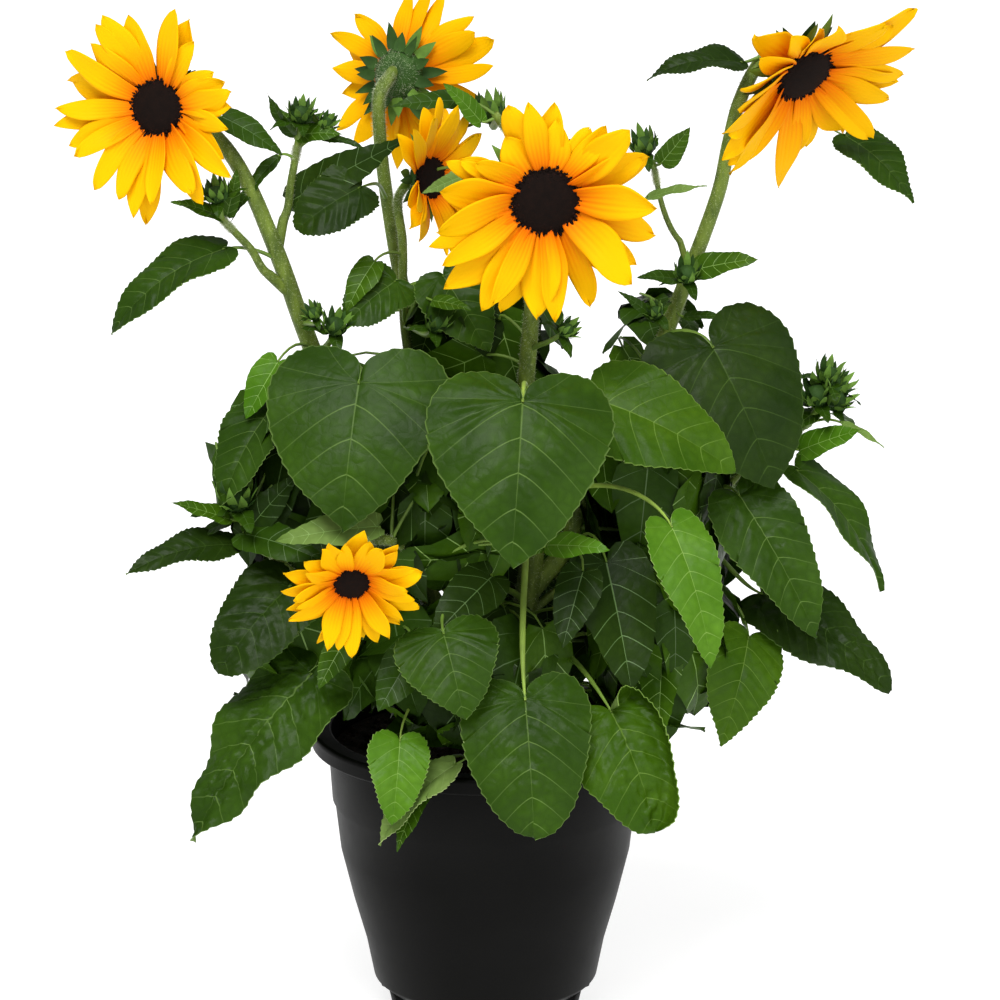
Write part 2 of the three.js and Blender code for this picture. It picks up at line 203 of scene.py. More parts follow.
def tube_arrays(line, radii, sides):
    """Points and faces of a thin round stalk along a line, closed to a point at its end."""
    side, other = frames_along(line)
    angle = circle_angles(sides)
    ring = np.cos(angle)[None, :, None] * side[:, None] + np.sin(angle)[None, :, None] * other[:, None]
    points = (line[:, None] + ring * np.asarray(radii)[:, None, None]).reshape(-1, 3)
    start = np.arange(len(line) - 1)[:, None] * sides
    spoke = np.arange(sides)
    ahead = (spoke + 1) % sides
    faces = np.stack([
        start + spoke, start + ahead, start + sides + ahead, start + sides + spoke,
    ], axis=2).reshape(-1, 4)
    return points, faces


# ---------------------------------------------------------------- reading the frame
def rings_between_poles(node, spokes):
    """The rings of points from one pole of a frame solid to the other, poles included."""
    shape = bmesh.new()
    shape.from_mesh(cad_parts[node].data)
    bmesh.ops.remove_doubles(shape, verts=shape.verts, dist=1e-5)
    pole = next(v for v in shape.verts if len(v.link_edges) == spokes)
    seen = {pole}
    levels = [[pole]]
    while levels[-1]:
        beyond = []
        for vertex in levels[-1]:
            for edge in vertex.link_edges:
                neighbour = edge.other_vert(vertex)
                if neighbour not in seen:
                    seen.add(neighbour)
                    beyond.append(neighbour)
        levels.append(beyond)
    rings = [np.array([v.co[:] for v in level]) for level in levels if level]
    shape.free()
    return rings


class Limb:
    """A tapering limb's centreline and radii, foot first."""

    def __init__(self, node):
        rings = rings_between_poles(node, LIMB_SPOKES)[1:-1]
        centres = np.array([ring.mean(0) for ring in rings])
        radii = [np.linalg.norm(ring - ring.mean(0), axis=1).mean() for ring in rings]
        stops = np.column_stack([centres, radii])
        if radii[0] < radii[-1]:
            stops = stops[::-1]
        length = np.linalg.norm(np.diff(stops[:, :3], axis=0), axis=1).sum()
        samples = spline(stops, max(24, int(length / (3 * MM))))
        self.line = samples[:, :3]
        self.radii = samples[:, 3] * (BRANCH_SLIM if node.startswith("branch") else STEM_SLIM)
        self.length = length

    def at(self, part):
        return self.line[int(round(part * (len(self.line) - 1)))]


class Head:
    """A flower head's middle, facing, petal reach, disc radius and cup."""

    def __init__(self, node):
        rings = rings_between_poles(node, HEAD_SPOKES)
        middles = [ring.mean(0) for ring in rings]
        reaches = [np.linalg.norm(r - m, axis=1).mean() for r, m in zip(rings, middles)]
        rim = int(np.argmax(reaches))
        if np.linalg.norm(middles[0] - middles[rim]) < np.linalg.norm(middles[-1] - middles[rim]):
            rings.reverse()
            middles.reverse()
            reaches.reverse()
            rim = len(rings) - 1 - rim
        self.facing = unit(middles[-1] - middles[0])
        self.reach = reaches[rim]
        self.disc = reaches[rim + 2]
        self.middle = middles[rim + 2] - 0.12 * self.disc * self.facing


class Blade:
    """A single leaf's heel, directions and sizes, read from its lens-shaped solid."""

    def __init__(self, node):
        rings = rings_between_poles(node, LEAF_SPOKES)
        widths = [self.spread(ring) for ring in rings]
        if widths[1][0] < widths[-2][0]:
            rings.reverse()
            widths.reverse()
        self.heel = rings[0][0]
        self.tip = rings[-1][0]
        self.length = np.linalg.norm(self.tip - self.heel)
        self.along = unit(self.tip - self.heel)
        self.width = max(width for width, _ in widths)
        self.side = across(widths[2][1], self.along)
        up = np.cross(self.side, self.along)
        if np.dot(up, FRONT + 0.6 * UP) < 0:
            self.side = -self.side
            up = -up
        self.up = up
        shoulders = (rings[1] - self.heel) @ self.along / self.length
        self.heart = (1 / 6 - shoulders.min()) / (1.5 * (5 / 6) ** 2)
        belly = (rings[3] - self.heel) @ self.up
        edge = np.abs((rings[3] - self.heel) @ self.side)
        middle = belly[edge < 0.2 * edge.max()].mean()
        self.bow = middle / self.length
        self.fold = (belly[np.argmax(edge)] - middle) / edge.max()

    @staticmethod
    def spread(ring):
        """The widest distance across a ring of points, and its direction."""
        gaps = ring[:, None] - ring[None]
        sizes = np.linalg.norm(gaps, axis=2)
        i, j = np.unravel_index(np.argmax(sizes), sizes.shape)
        return sizes[i, j], gaps[i, j]


class Mass:
    """A leafy mass: its faces, to spread leaves over, and its middle."""

    def __init__(self, node):
        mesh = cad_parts[node].data
        mesh.calc_loop_triangles()
        points = np.array([v.co[:] for v in mesh.vertices])
        self.triangles = points[[t.vertices[:] for t in mesh.loop_triangles]]
        a, b, c = self.triangles.transpose(1, 0, 2)
        normal = np.cross(b - a, c - a)
        self.areas = np.linalg.norm(normal, axis=1) / 2
        low, high = points.min(0), points.max(0)
        self.middle = (low + high) / 2
        self.half = (high - low) / 2

    def spread_points(self, count, spacing, chance):
        """Seeded points on the surface that keep their distance from each other."""
        odds = self.areas / self.areas.sum()
        chosen = []
        for _ in range(40 * count):
            if len(chosen) == count:
                break
            a, b, c = self.triangles[chance.choice(len(odds), p=odds)]
            u, v = chance.random(2)
            if u + v > 1:
                u, v = 1 - u, 1 - v
            spot = a + u * (b - a) + v * (c - a)
            if all(np.linalg.norm(spot - other) > spacing for other in chosen):
                chosen.append(spot)
        return chosen


limbs = {name: Limb(name) for name in LIMBS}
heads = {name: Head(name) for name in HEADS}
blades = {name: Blade(name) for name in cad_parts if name.startswith("leaf_")}
masses = {name: Mass(name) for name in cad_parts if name.startswith("mass_")}


# ---------------------------------------------------------------- materials
def srgb(red, green, blue):
    """A colour as it looks on a screen, 0 to 255, as the linear colour that shaders take."""
    linear = [((c / 255 + 0.055) / 1.055) ** 2.4 if c > 10 else c / 3294.6 for c in (red, green, blue)]
    return (*linear, 1.0)


WHITE = (1.0, 1.0, 1.0, 1.0)
GREY_0 = (0.0, 0.0, 0.0, 1.0)
GREY_30 = (0.3, 0.3, 0.3, 1.0)
PAPER_WHITE = (0.5, 0.5, 0.5, 1.0)


class Finish:
    """A material and the few node moves that the finishes below are made of."""

    def __init__(self, name, colour, roughness, **sockets):
        self.material = bpy.data.materials.new(name)
        self.material.use_nodes = True
        self.tree = self.material.node_tree
        self.shader = self.tree.nodes["Principled BSDF"]
        self.shader.inputs["Base Color"].default_value = colour
        self.shader.inputs["Roughness"].default_value = roughness
        for socket, value in sockets.items():
            self.shader.inputs[socket.replace("_", " ")].default_value = value

    def node(self, kind, **settings):
        node = self.tree.nodes.new(kind)
        for name, value in settings.items():
            setattr(node, name, value)
        return node

    def link(self, source, target):
        self.tree.links.new(source, target)

    def noise(self, scale, detail=3.0, stretch=(1, 1, 1), roughness=0.55):
        place = self.node("ShaderNodeTexCoord")
        turn = self.node("ShaderNodeMapping")
        turn.inputs["Scale"].default_value = stretch
        noise = self.node("ShaderNodeTexNoise")
        noise.inputs["Scale"].default_value = scale
        noise.inputs["Detail"].default_value = detail
        noise.inputs["Roughness"].default_value = roughness
        self.link(place.outputs["Object"], turn.inputs["Vector"])
        self.link(turn.outputs["Vector"], noise.inputs["Vector"])
        return noise.outputs["Fac"]

    def ramp(self, factor, *stops):
        ramp = self.node("ShaderNodeValToRGB")
        while len(ramp.color_ramp.elements) < len(stops):
            ramp.color_ramp.elements.new(0.5)
        for element, (place, colour) in zip(ramp.color_ramp.elements, stops):
            element.position = place
            element.color = colour
        self.link(factor, ramp.inputs["Fac"])
        return ramp.outputs["Color"]

    def mix(self, factor, first, second, blend="MIX"):
        mix = self.node("ShaderNodeMix", data_type="RGBA", blend_type=blend)
        for socket, value in ((mix.inputs[0], factor), (mix.inputs[6], first), (mix.inputs[7], second)):
            if isinstance(value, bpy.types.NodeSocket):
                self.link(value, socket)
            else:
                socket.default_value = value
        return mix.outputs[2]

    def cells(self, scale):
        """How far a place is from the borders of small cells."""
        place = self.node("ShaderNodeTexCoord")
        cells = self.node("ShaderNodeTexVoronoi", feature="DISTANCE_TO_EDGE")
        cells.inputs["Scale"].default_value = scale
        self.link(place.outputs["Object"], cells.inputs["Vector"])
        return cells.outputs["Distance"]

    def attribute(self, name):
        return self.node("ShaderNodeAttribute", attribute_name=name).outputs["Fac"]

    def colour(self, source):
        self.link(source, self.shader.inputs["Base Color"])
        return self

    def bump(self, height, distance, strength=1.0):
        bump = self.node("ShaderNodeBump")
        bump.inputs["Distance"].default_value = distance
        bump.inputs["Strength"].default_value = strength
        self.link(height, bump.inputs["Height"])
        self.link(bump.outputs["Normal"], self.shader.inputs["Normal"])
        return self

    def rough(self, factor, low, high):
        spread = self.node("ShaderNodeMapRange")
        spread.inputs["To Min"].default_value = low
        spread.inputs["To Max"].default_value = high
        self.link(factor, spread.inputs["Value"])
        self.link(spread.outputs["Result"], self.shader.inputs["Roughness"])
        return self


def leaf_finish(name, dark, light, vein, roughness=0.36):
    """A leaf's upper side: mottled between two greens and finely puckered, with painted shade darkening the
    creases of a fine cell net between the puckers, and paler main veins where the mesh marks them."""
    finish = Finish(name, dark, roughness, Specular_IOR_Level=0.08)
    skin = finish.ramp(finish.noise(26, 3), (0.34, dark), (0.68, light))
    net = finish.ramp(finish.cells(150), (0.0, GREY_0), (0.5, WHITE))
    # painted shade: a darker copy of the green, laid into the creases of the cell net where the bump sinks
    shade = tuple(0.75 * c for c in dark[:3]) + (1.0,)
    painted_crease_shade = finish.mix(0.4, skin, shade)
    finish.colour(finish.mix(finish.attribute("vein"), finish.mix(net, painted_crease_shade, skin), vein))
    finish.bump(finish.mix(0.7, net, finish.noise(75, 4)), 0.0016, 0.38)
    finish.rough(finish.noise(60, 2), roughness - 0.06, roughness + 0.1)
    return finish.material


def plain_finish(name, colour, roughness, grain, depth, **sockets):
    """A nearly even colour with a fine mottle and grain, for joined small pieces."""
    finish = Finish(name, colour, roughness, **sockets)
    shade = tuple(0.72 * c for c in colour[:3]) + (1.0,)
    light = tuple(min(1.0, 1.18 * c) for c in colour[:3]) + (1.0,)
    finish.colour(finish.ramp(finish.noise(grain, 3), (0.35, shade), (0.65, light)))
    finish.bump(finish.noise(grain * 6, 2), depth, 0.4)
    return finish.material


def petal_finish(name):
    """Orange at the petal's base, golden yellow to its tip."""
    finish = Finish(name, srgb(240, 186, 0), 0.6, Specular_IOR_Level=0.05)
    gold = finish.ramp(
        finish.attribute("tip"), (0.0, srgb(216, 88, 0)), (0.16, srgb(234, 127, 0)),
        (0.38, srgb(238, 158, 0)), (0.62, srgb(240, 177, 0)), (1.0, srgb(240, 184, 0)),
    )
    finish.colour(gold)
    finish.bump(finish.noise(700, 2), 0.0003, 0.3)
    return finish.material


def stem_finish(name, dark, light, speck):
    """Ribbed green bark with pale specks."""
    finish = Finish(name, light, 0.6, Specular_IOR_Level=0.3)
    streak = finish.noise(200, 4, stretch=(1, 1, 0.3))
    skin = finish.ramp(streak, (0.3, dark), (0.7, light))
    specks = finish.ramp(finish.noise(650, 2), (0.6, GREY_0), (0.72, GREY_30))
    finish.colour(finish.mix(specks, skin, speck))
    finish.bump(finish.noise(700, 3, stretch=(1, 1, 0.5)), 0.0006, 0.5)
    return finish.material


def pot_finish():
    """Black moulded plastic, satin, with a very fine grain and light scuffs."""
    finish = Finish("black moulded plastic", srgb(9, 9, 8), 0.42, Specular_IOR_Level=0.06)
    finish.colour(finish.ramp(finish.noise(14, 5), (0.3, srgb(7, 7, 6)), (0.75, srgb(12, 12, 11))))
    finish.rough(finish.noise(60, 4), 0.38, 0.5)
    finish.bump(finish.noise(1600, 2), 0.0002, 0.35)
    return finish.material


def soil_finish():
    finish = Finish("potting soil", srgb(38, 28, 20), 0.95, Specular_IOR_Level=0.2)
    crumbs = finish.noise(260, 6)
    finish.colour(finish.ramp(
        crumbs, (0.3, srgb(18, 13, 9)), (0.55, srgb(44, 33, 24)), (0.8, srgb(78, 62, 46)),
    ))
    finish.bump(crumbs, 0.003, 0.9)
    return finish.material


LEAF_TONES = {
    "deep": leaf_finish("leaf deep green", srgb(26, 45, 7), srgb(40, 61, 11), srgb(74, 100, 42)),
    "dark": leaf_finish("leaf dark green", srgb(35, 60, 7), srgb(51, 80, 14), srgb(116, 144, 74)),
    "mid": leaf_finish("leaf green", srgb(47, 78, 6), srgb(66, 98, 15), srgb(124, 154, 70)),
    "bright": leaf_finish("leaf bright green", srgb(62, 104, 14), srgb(86, 128, 32), srgb(152, 182, 98)),
    "pale": leaf_finish(
        "leaf pale underside", srgb(96, 124, 54), srgb(122, 146, 78), srgb(162, 180, 116), 0.6,
    ),
}
TONE_NAMES = list(LEAF_TONES)
petal_gold = petal_finish("petal gold")
stem_green = stem_finish("stem green", srgb(66, 86, 24), srgb(112, 132, 46), srgb(196, 206, 144))
stalk_green = plain_finish("leaf stalk green", srgb(104, 134, 46), 0.5, 60, 0.0003)
stalk_light = plain_finish("leaf stalk light green", srgb(138, 166, 66), 0.5, 60, 0.0003)
vein_dark = plain_finish("leaf vein dark", srgb(74, 104, 46), 0.5, 60, 0.0002)
vein_light = plain_finish("leaf vein light", srgb(124, 160, 74), 0.5, 60, 0.0002)
bract_green = plain_finish("bract green", srgb(46, 76, 26), 0.7, 90, 0.0004, Specular_IOR_Level=0.2)
bract_light = plain_finish("young bract green", srgb(98, 134, 50), 0.7, 90, 0.0004, Specular_IOR_Level=0.2)
hair_pale = plain_finish("pale hair", srgb(196, 206, 168), 0.7, 80, 0.0001)
disc_black = plain_finish("disc dark brown", srgb(17, 7, 4), 0.85, 300, 0.0005, Specular_IOR_Level=0.12)
disc_brown = plain_finish("disc floret brown", srgb(30, 11, 7), 0.8, 300, 0.0004, Specular_IOR_Level=0.12)
disc_olive = plain_finish(
    "disc young floret olive", srgb(44, 34, 20), 0.8, 300, 0.0004, Specular_IOR_Level=0.12,
)
FOLIAGE_FINISHES = [LEAF_TONES[tone] for tone in TONE_NAMES] + [vein_dark, vein_light]
VEIN_DARK_INDEX = len(TONE_NAMES)
VEIN_LIGHT_INDEX = VEIN_DARK_INDEX + 1
pot_black = pot_finish()
soil_brown = soil_finish()


# ---------------------------------------------------------------- drawing rings into a skin
def lofted(rings, material, smooth_angle=None):
    """A closed skin: a filled circle that is extruded and set to each next ring in turn."""
    deselect()
    bpy.ops.mesh.primitive_circle_add(vertices=len(rings[0]), radius=1, fill_type="NGON")
    piece = bpy.context.object
    bpy.ops.object.mode_set(mode="EDIT")
    skin = bmesh.from_edit_mesh(piece.data)
    spoke = skin.verts.layers.int.new("spoke")
    for count, vertex in enumerate(skin.verts):
        vertex[spoke] = count
        vertex.co = rings[0][count]
    for ring in rings[1:]:
        bpy.ops.mesh.extrude_region_move()
        skin = bmesh.from_edit_mesh(piece.data)
        spoke = skin.verts.layers.int["spoke"]
        for vertex in skin.verts:
            if vertex.select:
                vertex.co = ring[vertex[spoke]]
    bpy.ops.mesh.select_all(action="SELECT")
    bpy.ops.mesh.normals_make_consistent(inside=False)
    bpy.ops.object.mode_set(mode="OBJECT")
    piece.data.attributes.remove(piece.data.attributes["spoke"])
    piece.data.materials.append(material)
    if smooth_angle:
        bpy.ops.object.shade_smooth_by_angle(angle=math.radians(smooth_angle))
    else:
        bpy.ops.object.shade_smooth()
    return piece


# ---------------------------------------------------------------- pot and soil
POT_SEGMENTS = 96
LIP_ROLL = 1.2 * MM


def pot():
    """The frame's pot profile drawn again in fine rings, with its edges rounded."""
    rings = rings_between_poles("pot", POT_SPOKES)
    turn = circle_angles(POT_SEGMENTS)
    fine = []
    for ring in rings[1:-1]:
        radius = np.linalg.norm(ring[:, :2], axis=1).mean()
        height = ring[:, 2].mean()
        fine.append(np.column_stack([
            radius * np.cos(turn), radius * np.sin(turn), np.full(POT_SEGMENTS, height),
        ]))
    piece = lofted(fine, pot_black, 40)
    apply_modifier(
        piece, "BEVEL", width=LIP_ROLL, segments=3, limit_method="ANGLE",
        angle_limit=math.radians(25), use_clamp_overlap=True,
    )
    return finished(piece, "pot_body", "pot_plastic", "pot")


LUGS = 12
LUG_INNER, LUG_OUTER = 51 * MM, 65 * MM
LUG_LOW, LUG_HIGH = 9 * MM, 22 * MM
LUG_WIDTH = 7 * MM


def pot_lugs():
    """Wedges under the wall that carry it on the foot, with the drainage gaps between them."""
    deselect()
    middle = ((LUG_INNER + LUG_OUTER) / 2, 0, (LUG_LOW + LUG_HIGH) / 2)
    bpy.ops.mesh.primitive_cube_add(size=1, location=middle)
    lug = bpy.context.object
    lug.dimensions = (LUG_OUTER - LUG_INNER, LUG_WIDTH, LUG_HIGH - LUG_LOW)
    bpy.ops.object.transform_apply(location=True, rotation=True, scale=True)
    # the outer foot of the wedge is drawn up towards the wall
    for vertex in lug.data.vertices:
        if vertex.co.x > middle[0] and vertex.co.z < middle[2]:
            vertex.co.z += 5 * MM
            vertex.co.x -= 2 * MM
    apply_modifier(lug, "BEVEL", width=0.8 * MM, segments=2)
    lug.data.materials.append(pot_black)
    copies = [lug]
    for k in range(1, LUGS):
        copy = lug.copy()
        copy.data = lug.data.copy()
        copy.data.transform(Matrix.Rotation(2 * math.pi * k / LUGS, 4, "Z"))
        bpy.context.scene.collection.objects.link(copy)
        copies.append(copy)
    deselect()
    for copy in copies:
        copy.select_set(True)
    bpy.context.view_layer.objects.active = lug
    bpy.ops.object.join()
    bpy.ops.object.shade_smooth_by_angle(angle=math.radians(35))
    return finished(lug, "pot_lugs", "pot_plastic")


CLODS = 420


def soil_clods():
    """Crumbs and lumps lying on the soil."""
    _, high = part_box("soil")
    chance = np.random.default_rng(17)
    batch = Batch()
    lump = np.array([
        (1, 0, 0), (-1, 0, 0), (0, 1, 0), (0, -1, 0), (0, 0, 1), (0, 0, -0.6),
        (0.6, 0.6, 0.5), (-0.6, 0.6, 0.5), (-0.6, -0.6, 0.5), (0.6, -0.6, 0.5),
    ], float)
    faces = np.array([
        (4, 6, 7), (4, 7, 8), (4, 8, 9), (4, 9, 6), (6, 0, 2), (6, 2, 7), (7, 2, 1), (7, 1, 8),
        (8, 1, 3), (8, 3, 9), (9, 3, 0), (9, 0, 6), (5, 2, 0), (5, 1, 2), (5, 3, 1), (5, 0, 3),
    ])
    for _ in range(CLODS):
        angle, part = chance.uniform(0, 2 * math.pi), math.sqrt(chance.random())
        reach = 0.97 * high.x * part
        size = chance.uniform(0.8, 3.2) * MM * chance.uniform(0.5, 1)
        stretch = chance.uniform(0.6, 1.3, 3) * size
        spot = np.array([reach * math.cos(angle), reach * math.sin(angle), high.z + 0.4 * size])
        points = spot + lump * stretch * chance.uniform(0.85, 1.15, (10, 1))
        batch.add(points, faces, 0)
    return finished(batch.piece("soil_clods", [soil_brown]), "soil_clods", "potting_soil")


def soil():
    """The potting soil: a disc of crumbly ground over the frame's solid."""
    _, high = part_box("soil")
    radius = high.x
    chance = np.random.default_rng(11)
    deselect()
    bpy.ops.mesh.primitive_circle_add(vertices=72, radius=radius, fill_type="NGON", location=(0, 0, high.z))
    piece = bpy.context.object
    bpy.ops.object.transform_apply(location=True)
    bpy.ops.object.mode_set(mode="EDIT")
    for _ in range(14):
        bpy.ops.mesh.inset(thickness=0.068 * radius)
    bpy.ops.object.mode_set(mode="OBJECT")
    points = np.array([v.co[:] for v in piece.data.vertices])
    bumps = 1.8 * MM * (np.sin(points[:, 0] * 330) * np.sin(points[:, 1] * 290 + 1))
    grains = chance.normal(0, 0.5 * MM, len(points))
    inside = np.linalg.norm(points[:, :2], axis=1) < 0.99 * radius
    points[:, 2] += np.where(inside, bumps + grains, 0)
    piece.data.vertices.foreach_set("co", points.ravel())
    piece.data.materials.append(soil_brown)
    bpy.ops.object.shade_smooth()
    return finished(piece, "soil_surface", "potting_soil", "soil")


# ---------------------------------------------------------------- stems
STEM_SIDES = 18
RIDGES = 6
RIDGE_DEPTH = 0.035
# a branch leaves its parent this many points lower, and its own first points give way
FORK_DROP = 4
FORK_SKIP = 3


def stem(name):
    """A limb's skin: ribbed, a little swollen at its foot, rooted inside its parent."""
    limb = limbs[name]
    line, radii = limb.line, limb.radii
    if name in PARENTS:
        parent = limbs[PARENTS[name]]
        nearest = np.argmin(np.linalg.norm(parent.line - line[0], axis=1))
        fork = parent.line[max(nearest - FORK_DROP, 0)]
        run = spline([fork, line[FORK_SKIP], line[FORK_SKIP + 3]], 13)[:-6]
        line = np.vstack([run, line[FORK_SKIP + 1:]])
        radii = np.concatenate([np.full(len(run), radii[0]) * 1.05, radii[FORK_SKIP + 1:]])
    else:
        line = np.vstack([line[0] - 9 * MM * UP, line])
        radii = np.concatenate([[radii[0]], radii])
    end = unit(line[-1] - line[-2])
    line = np.vstack([line, line[-1] + 4 * MM * end])
    radii = np.append(radii, 0.9 * radii[-1])
    foot = np.linspace(0, 1, len(line))
    radii = radii * (1 + 0.14 * np.exp(-((foot * limb.length) / (9 * MM)) ** 2))
    side, other = frames_along(line)
    angle = circle_angles(STEM_SIDES)
    ribs = 1 + RIDGE_DEPTH * np.cos(RIDGES * angle)
    rings = [
        line[i] + radii[i] * ribs[:, None] * (
            np.cos(angle)[:, None] * side[i] + np.sin(angle)[:, None] * other[i]
        )
        for i in range(0, len(line))
    ]
    piece = lofted(rings, stem_green)
    return finished(piece, f"{name}_skin", "stem", name)


HAIR_LENGTH = 1.9 * MM
HAIR_ROOT = 0.055 * MM
CUP_HAIRS = 900
NECK_HAIRS = 900


def hair_arrays(spots, directions, lengths):
    """Fine three-sided hairs, each a tiny spike on its spot."""
    side = np.cross(directions, [0.3, 0.5, 0.81])
    side /= np.linalg.norm(side, axis=1)[:, None]
    other = np.cross(directions, side)
    corners = [
        spots + HAIR_ROOT * (math.cos(a) * side + math.sin(a) * other)
        for a in circle_angles(3)
    ]
    tips = spots + directions * lengths[:, None]
    points = np.stack([*corners, tips], axis=1).reshape(-1, 3)
    start = 4 * np.arange(len(spots))[:, None]
    faces = (start[:, :, None] + np.array([[0, 1, 3], [1, 2, 3], [2, 0, 3]])).reshape(-1, 3)
    return points, faces


def stem_hairs():
    """Pale hairs all over the limbs, thickest near the flower heads."""
    chance = np.random.default_rng(5)
    batch = Batch()
    for limb in limbs.values():
        side, other = frames_along(limb.line)
        count = int(limb.length / MM * 12)
        part = chance.random(count) ** 0.75
        neck = chance.random(NECK_HAIRS) * 0.16 + 0.84
        place = (np.concatenate([part, neck]) * (len(limb.line) - 1)).astype(int)
        count += NECK_HAIRS
        angle = chance.random(count) * 2 * math.pi
        outward = np.cos(angle)[:, None] * side[place] + np.sin(angle)[:, None] * other[place]
        spots = limb.line[place] + outward * limb.radii[place][:, None] * 0.98
        spots += chance.normal(0, 1 * MM, (count, 1)) * np.gradient(limb.line, axis=0)[place] / (3 * MM)
        lean = outward + chance.normal(0, 0.25, (count, 3))
        lean /= np.linalg.norm(lean, axis=1)[:, None]
        lengths = HAIR_LENGTH * chance.uniform(0.4, 1.15, count)
        points, faces = hair_arrays(spots, lean, lengths)
        batch.add(points, faces, 0)
    for head in heads.values():
        side = across(UP, head.facing)
        other = np.cross(head.facing, side)
        turn = chance.random(CUP_HAIRS) * 2 * math.pi
        ray = np.cos(turn)[:, None] * side + np.sin(turn)[:, None] * other
        place = chance.uniform(0.2, 1.0, CUP_HAIRS)[:, None]
        radius = np.interp(place, [0.2, 0.6, 0.9, 1.0], [0.3, 0.68, 0.98, 1.06])
        depth = np.interp(place, [0.2, 0.6, 0.9, 1.0], [-0.74, -0.6, -0.3, -0.1])
        spots = head.middle + head.disc * (radius * ray + depth * head.facing)
        lean = radius * ray - 0.5 * head.facing + chance.normal(0, 0.25, (CUP_HAIRS, 3))
        lean /= np.linalg.norm(lean, axis=1)[:, None]
        points, faces = hair_arrays(spots, lean, HAIR_LENGTH * chance.uniform(0.6, 1.5, CUP_HAIRS))
        batch.add(points, faces, 0)
    return finished(batch.piece("stem_hairs", [hair_pale]), "stem_hairs", "stem")


# ---------------------------------------------------------------- leaves
# half the outline of a leaf, heel to tip, as parts of its half width and length
HEART_ACROSS = np.array([0, 0.05, 0.21, 0.49, 0.80, 0.98, 1, 0.86, 0.54, 0.18, 0])
HEART_ALONG = np.array([0, -0.10, -0.165, -0.195, -0.14, 0.02, 0.19, 0.44, 0.73, 0.92, 1])
OVATE_ACROSS = np.array([0, 0.16, 0.44, 0.70, 0.90, 1, 0.96, 0.77, 0.46, 0.15, 0])
OVATE_ALONG = np.array([0, -0.02, -0.03, 0.02, 0.12, 0.25, 0.40, 0.58, 0.78, 0.93, 1])
# what a blunt tip adds to them
BLUNT_ACROSS = np.array([0, 0, 0, 0, 0, 0, 0, 0.1, 0.2, 0.24, 0])
BLUNT_ALONG = np.array([0, 0, 0, 0, 0, 0, 0.01, 0.03, 0.05, 0.03, 0])
FULL_HEART = 0.42
VEIN_PLACES = np.array([0.2, 0.38, 0.5, 0.59, 0.68, 0.77, 0.86, 0.94])
VEIN_LEAN = 0.8


def outline(shape):
    """Even steps round one side of the leaf's edge: distances across and along."""
    share = np.clip(shape["heart"] / FULL_HEART, 0, 1.35)
    blunt = shape["blunt"]
    along = share * HEART_ALONG + (1 - share) * OVATE_ALONG + blunt * BLUNT_ALONG
    wide = share * HEART_ACROSS + (1 - share) * OVATE_ACROSS + blunt * BLUNT_ACROSS
    edge = spline(np.column_stack([wide * shape["width"] / 2, along * shape["length"]]), 240)
    travelled = np.concatenate([[0], np.cumsum(np.linalg.norm(np.diff(edge, axis=0), axis=1))])
    even = np.linspace(0, travelled[-1], 240)
    return np.column_stack([np.interp(even, travelled, edge[:, i]) for i in range(2)])


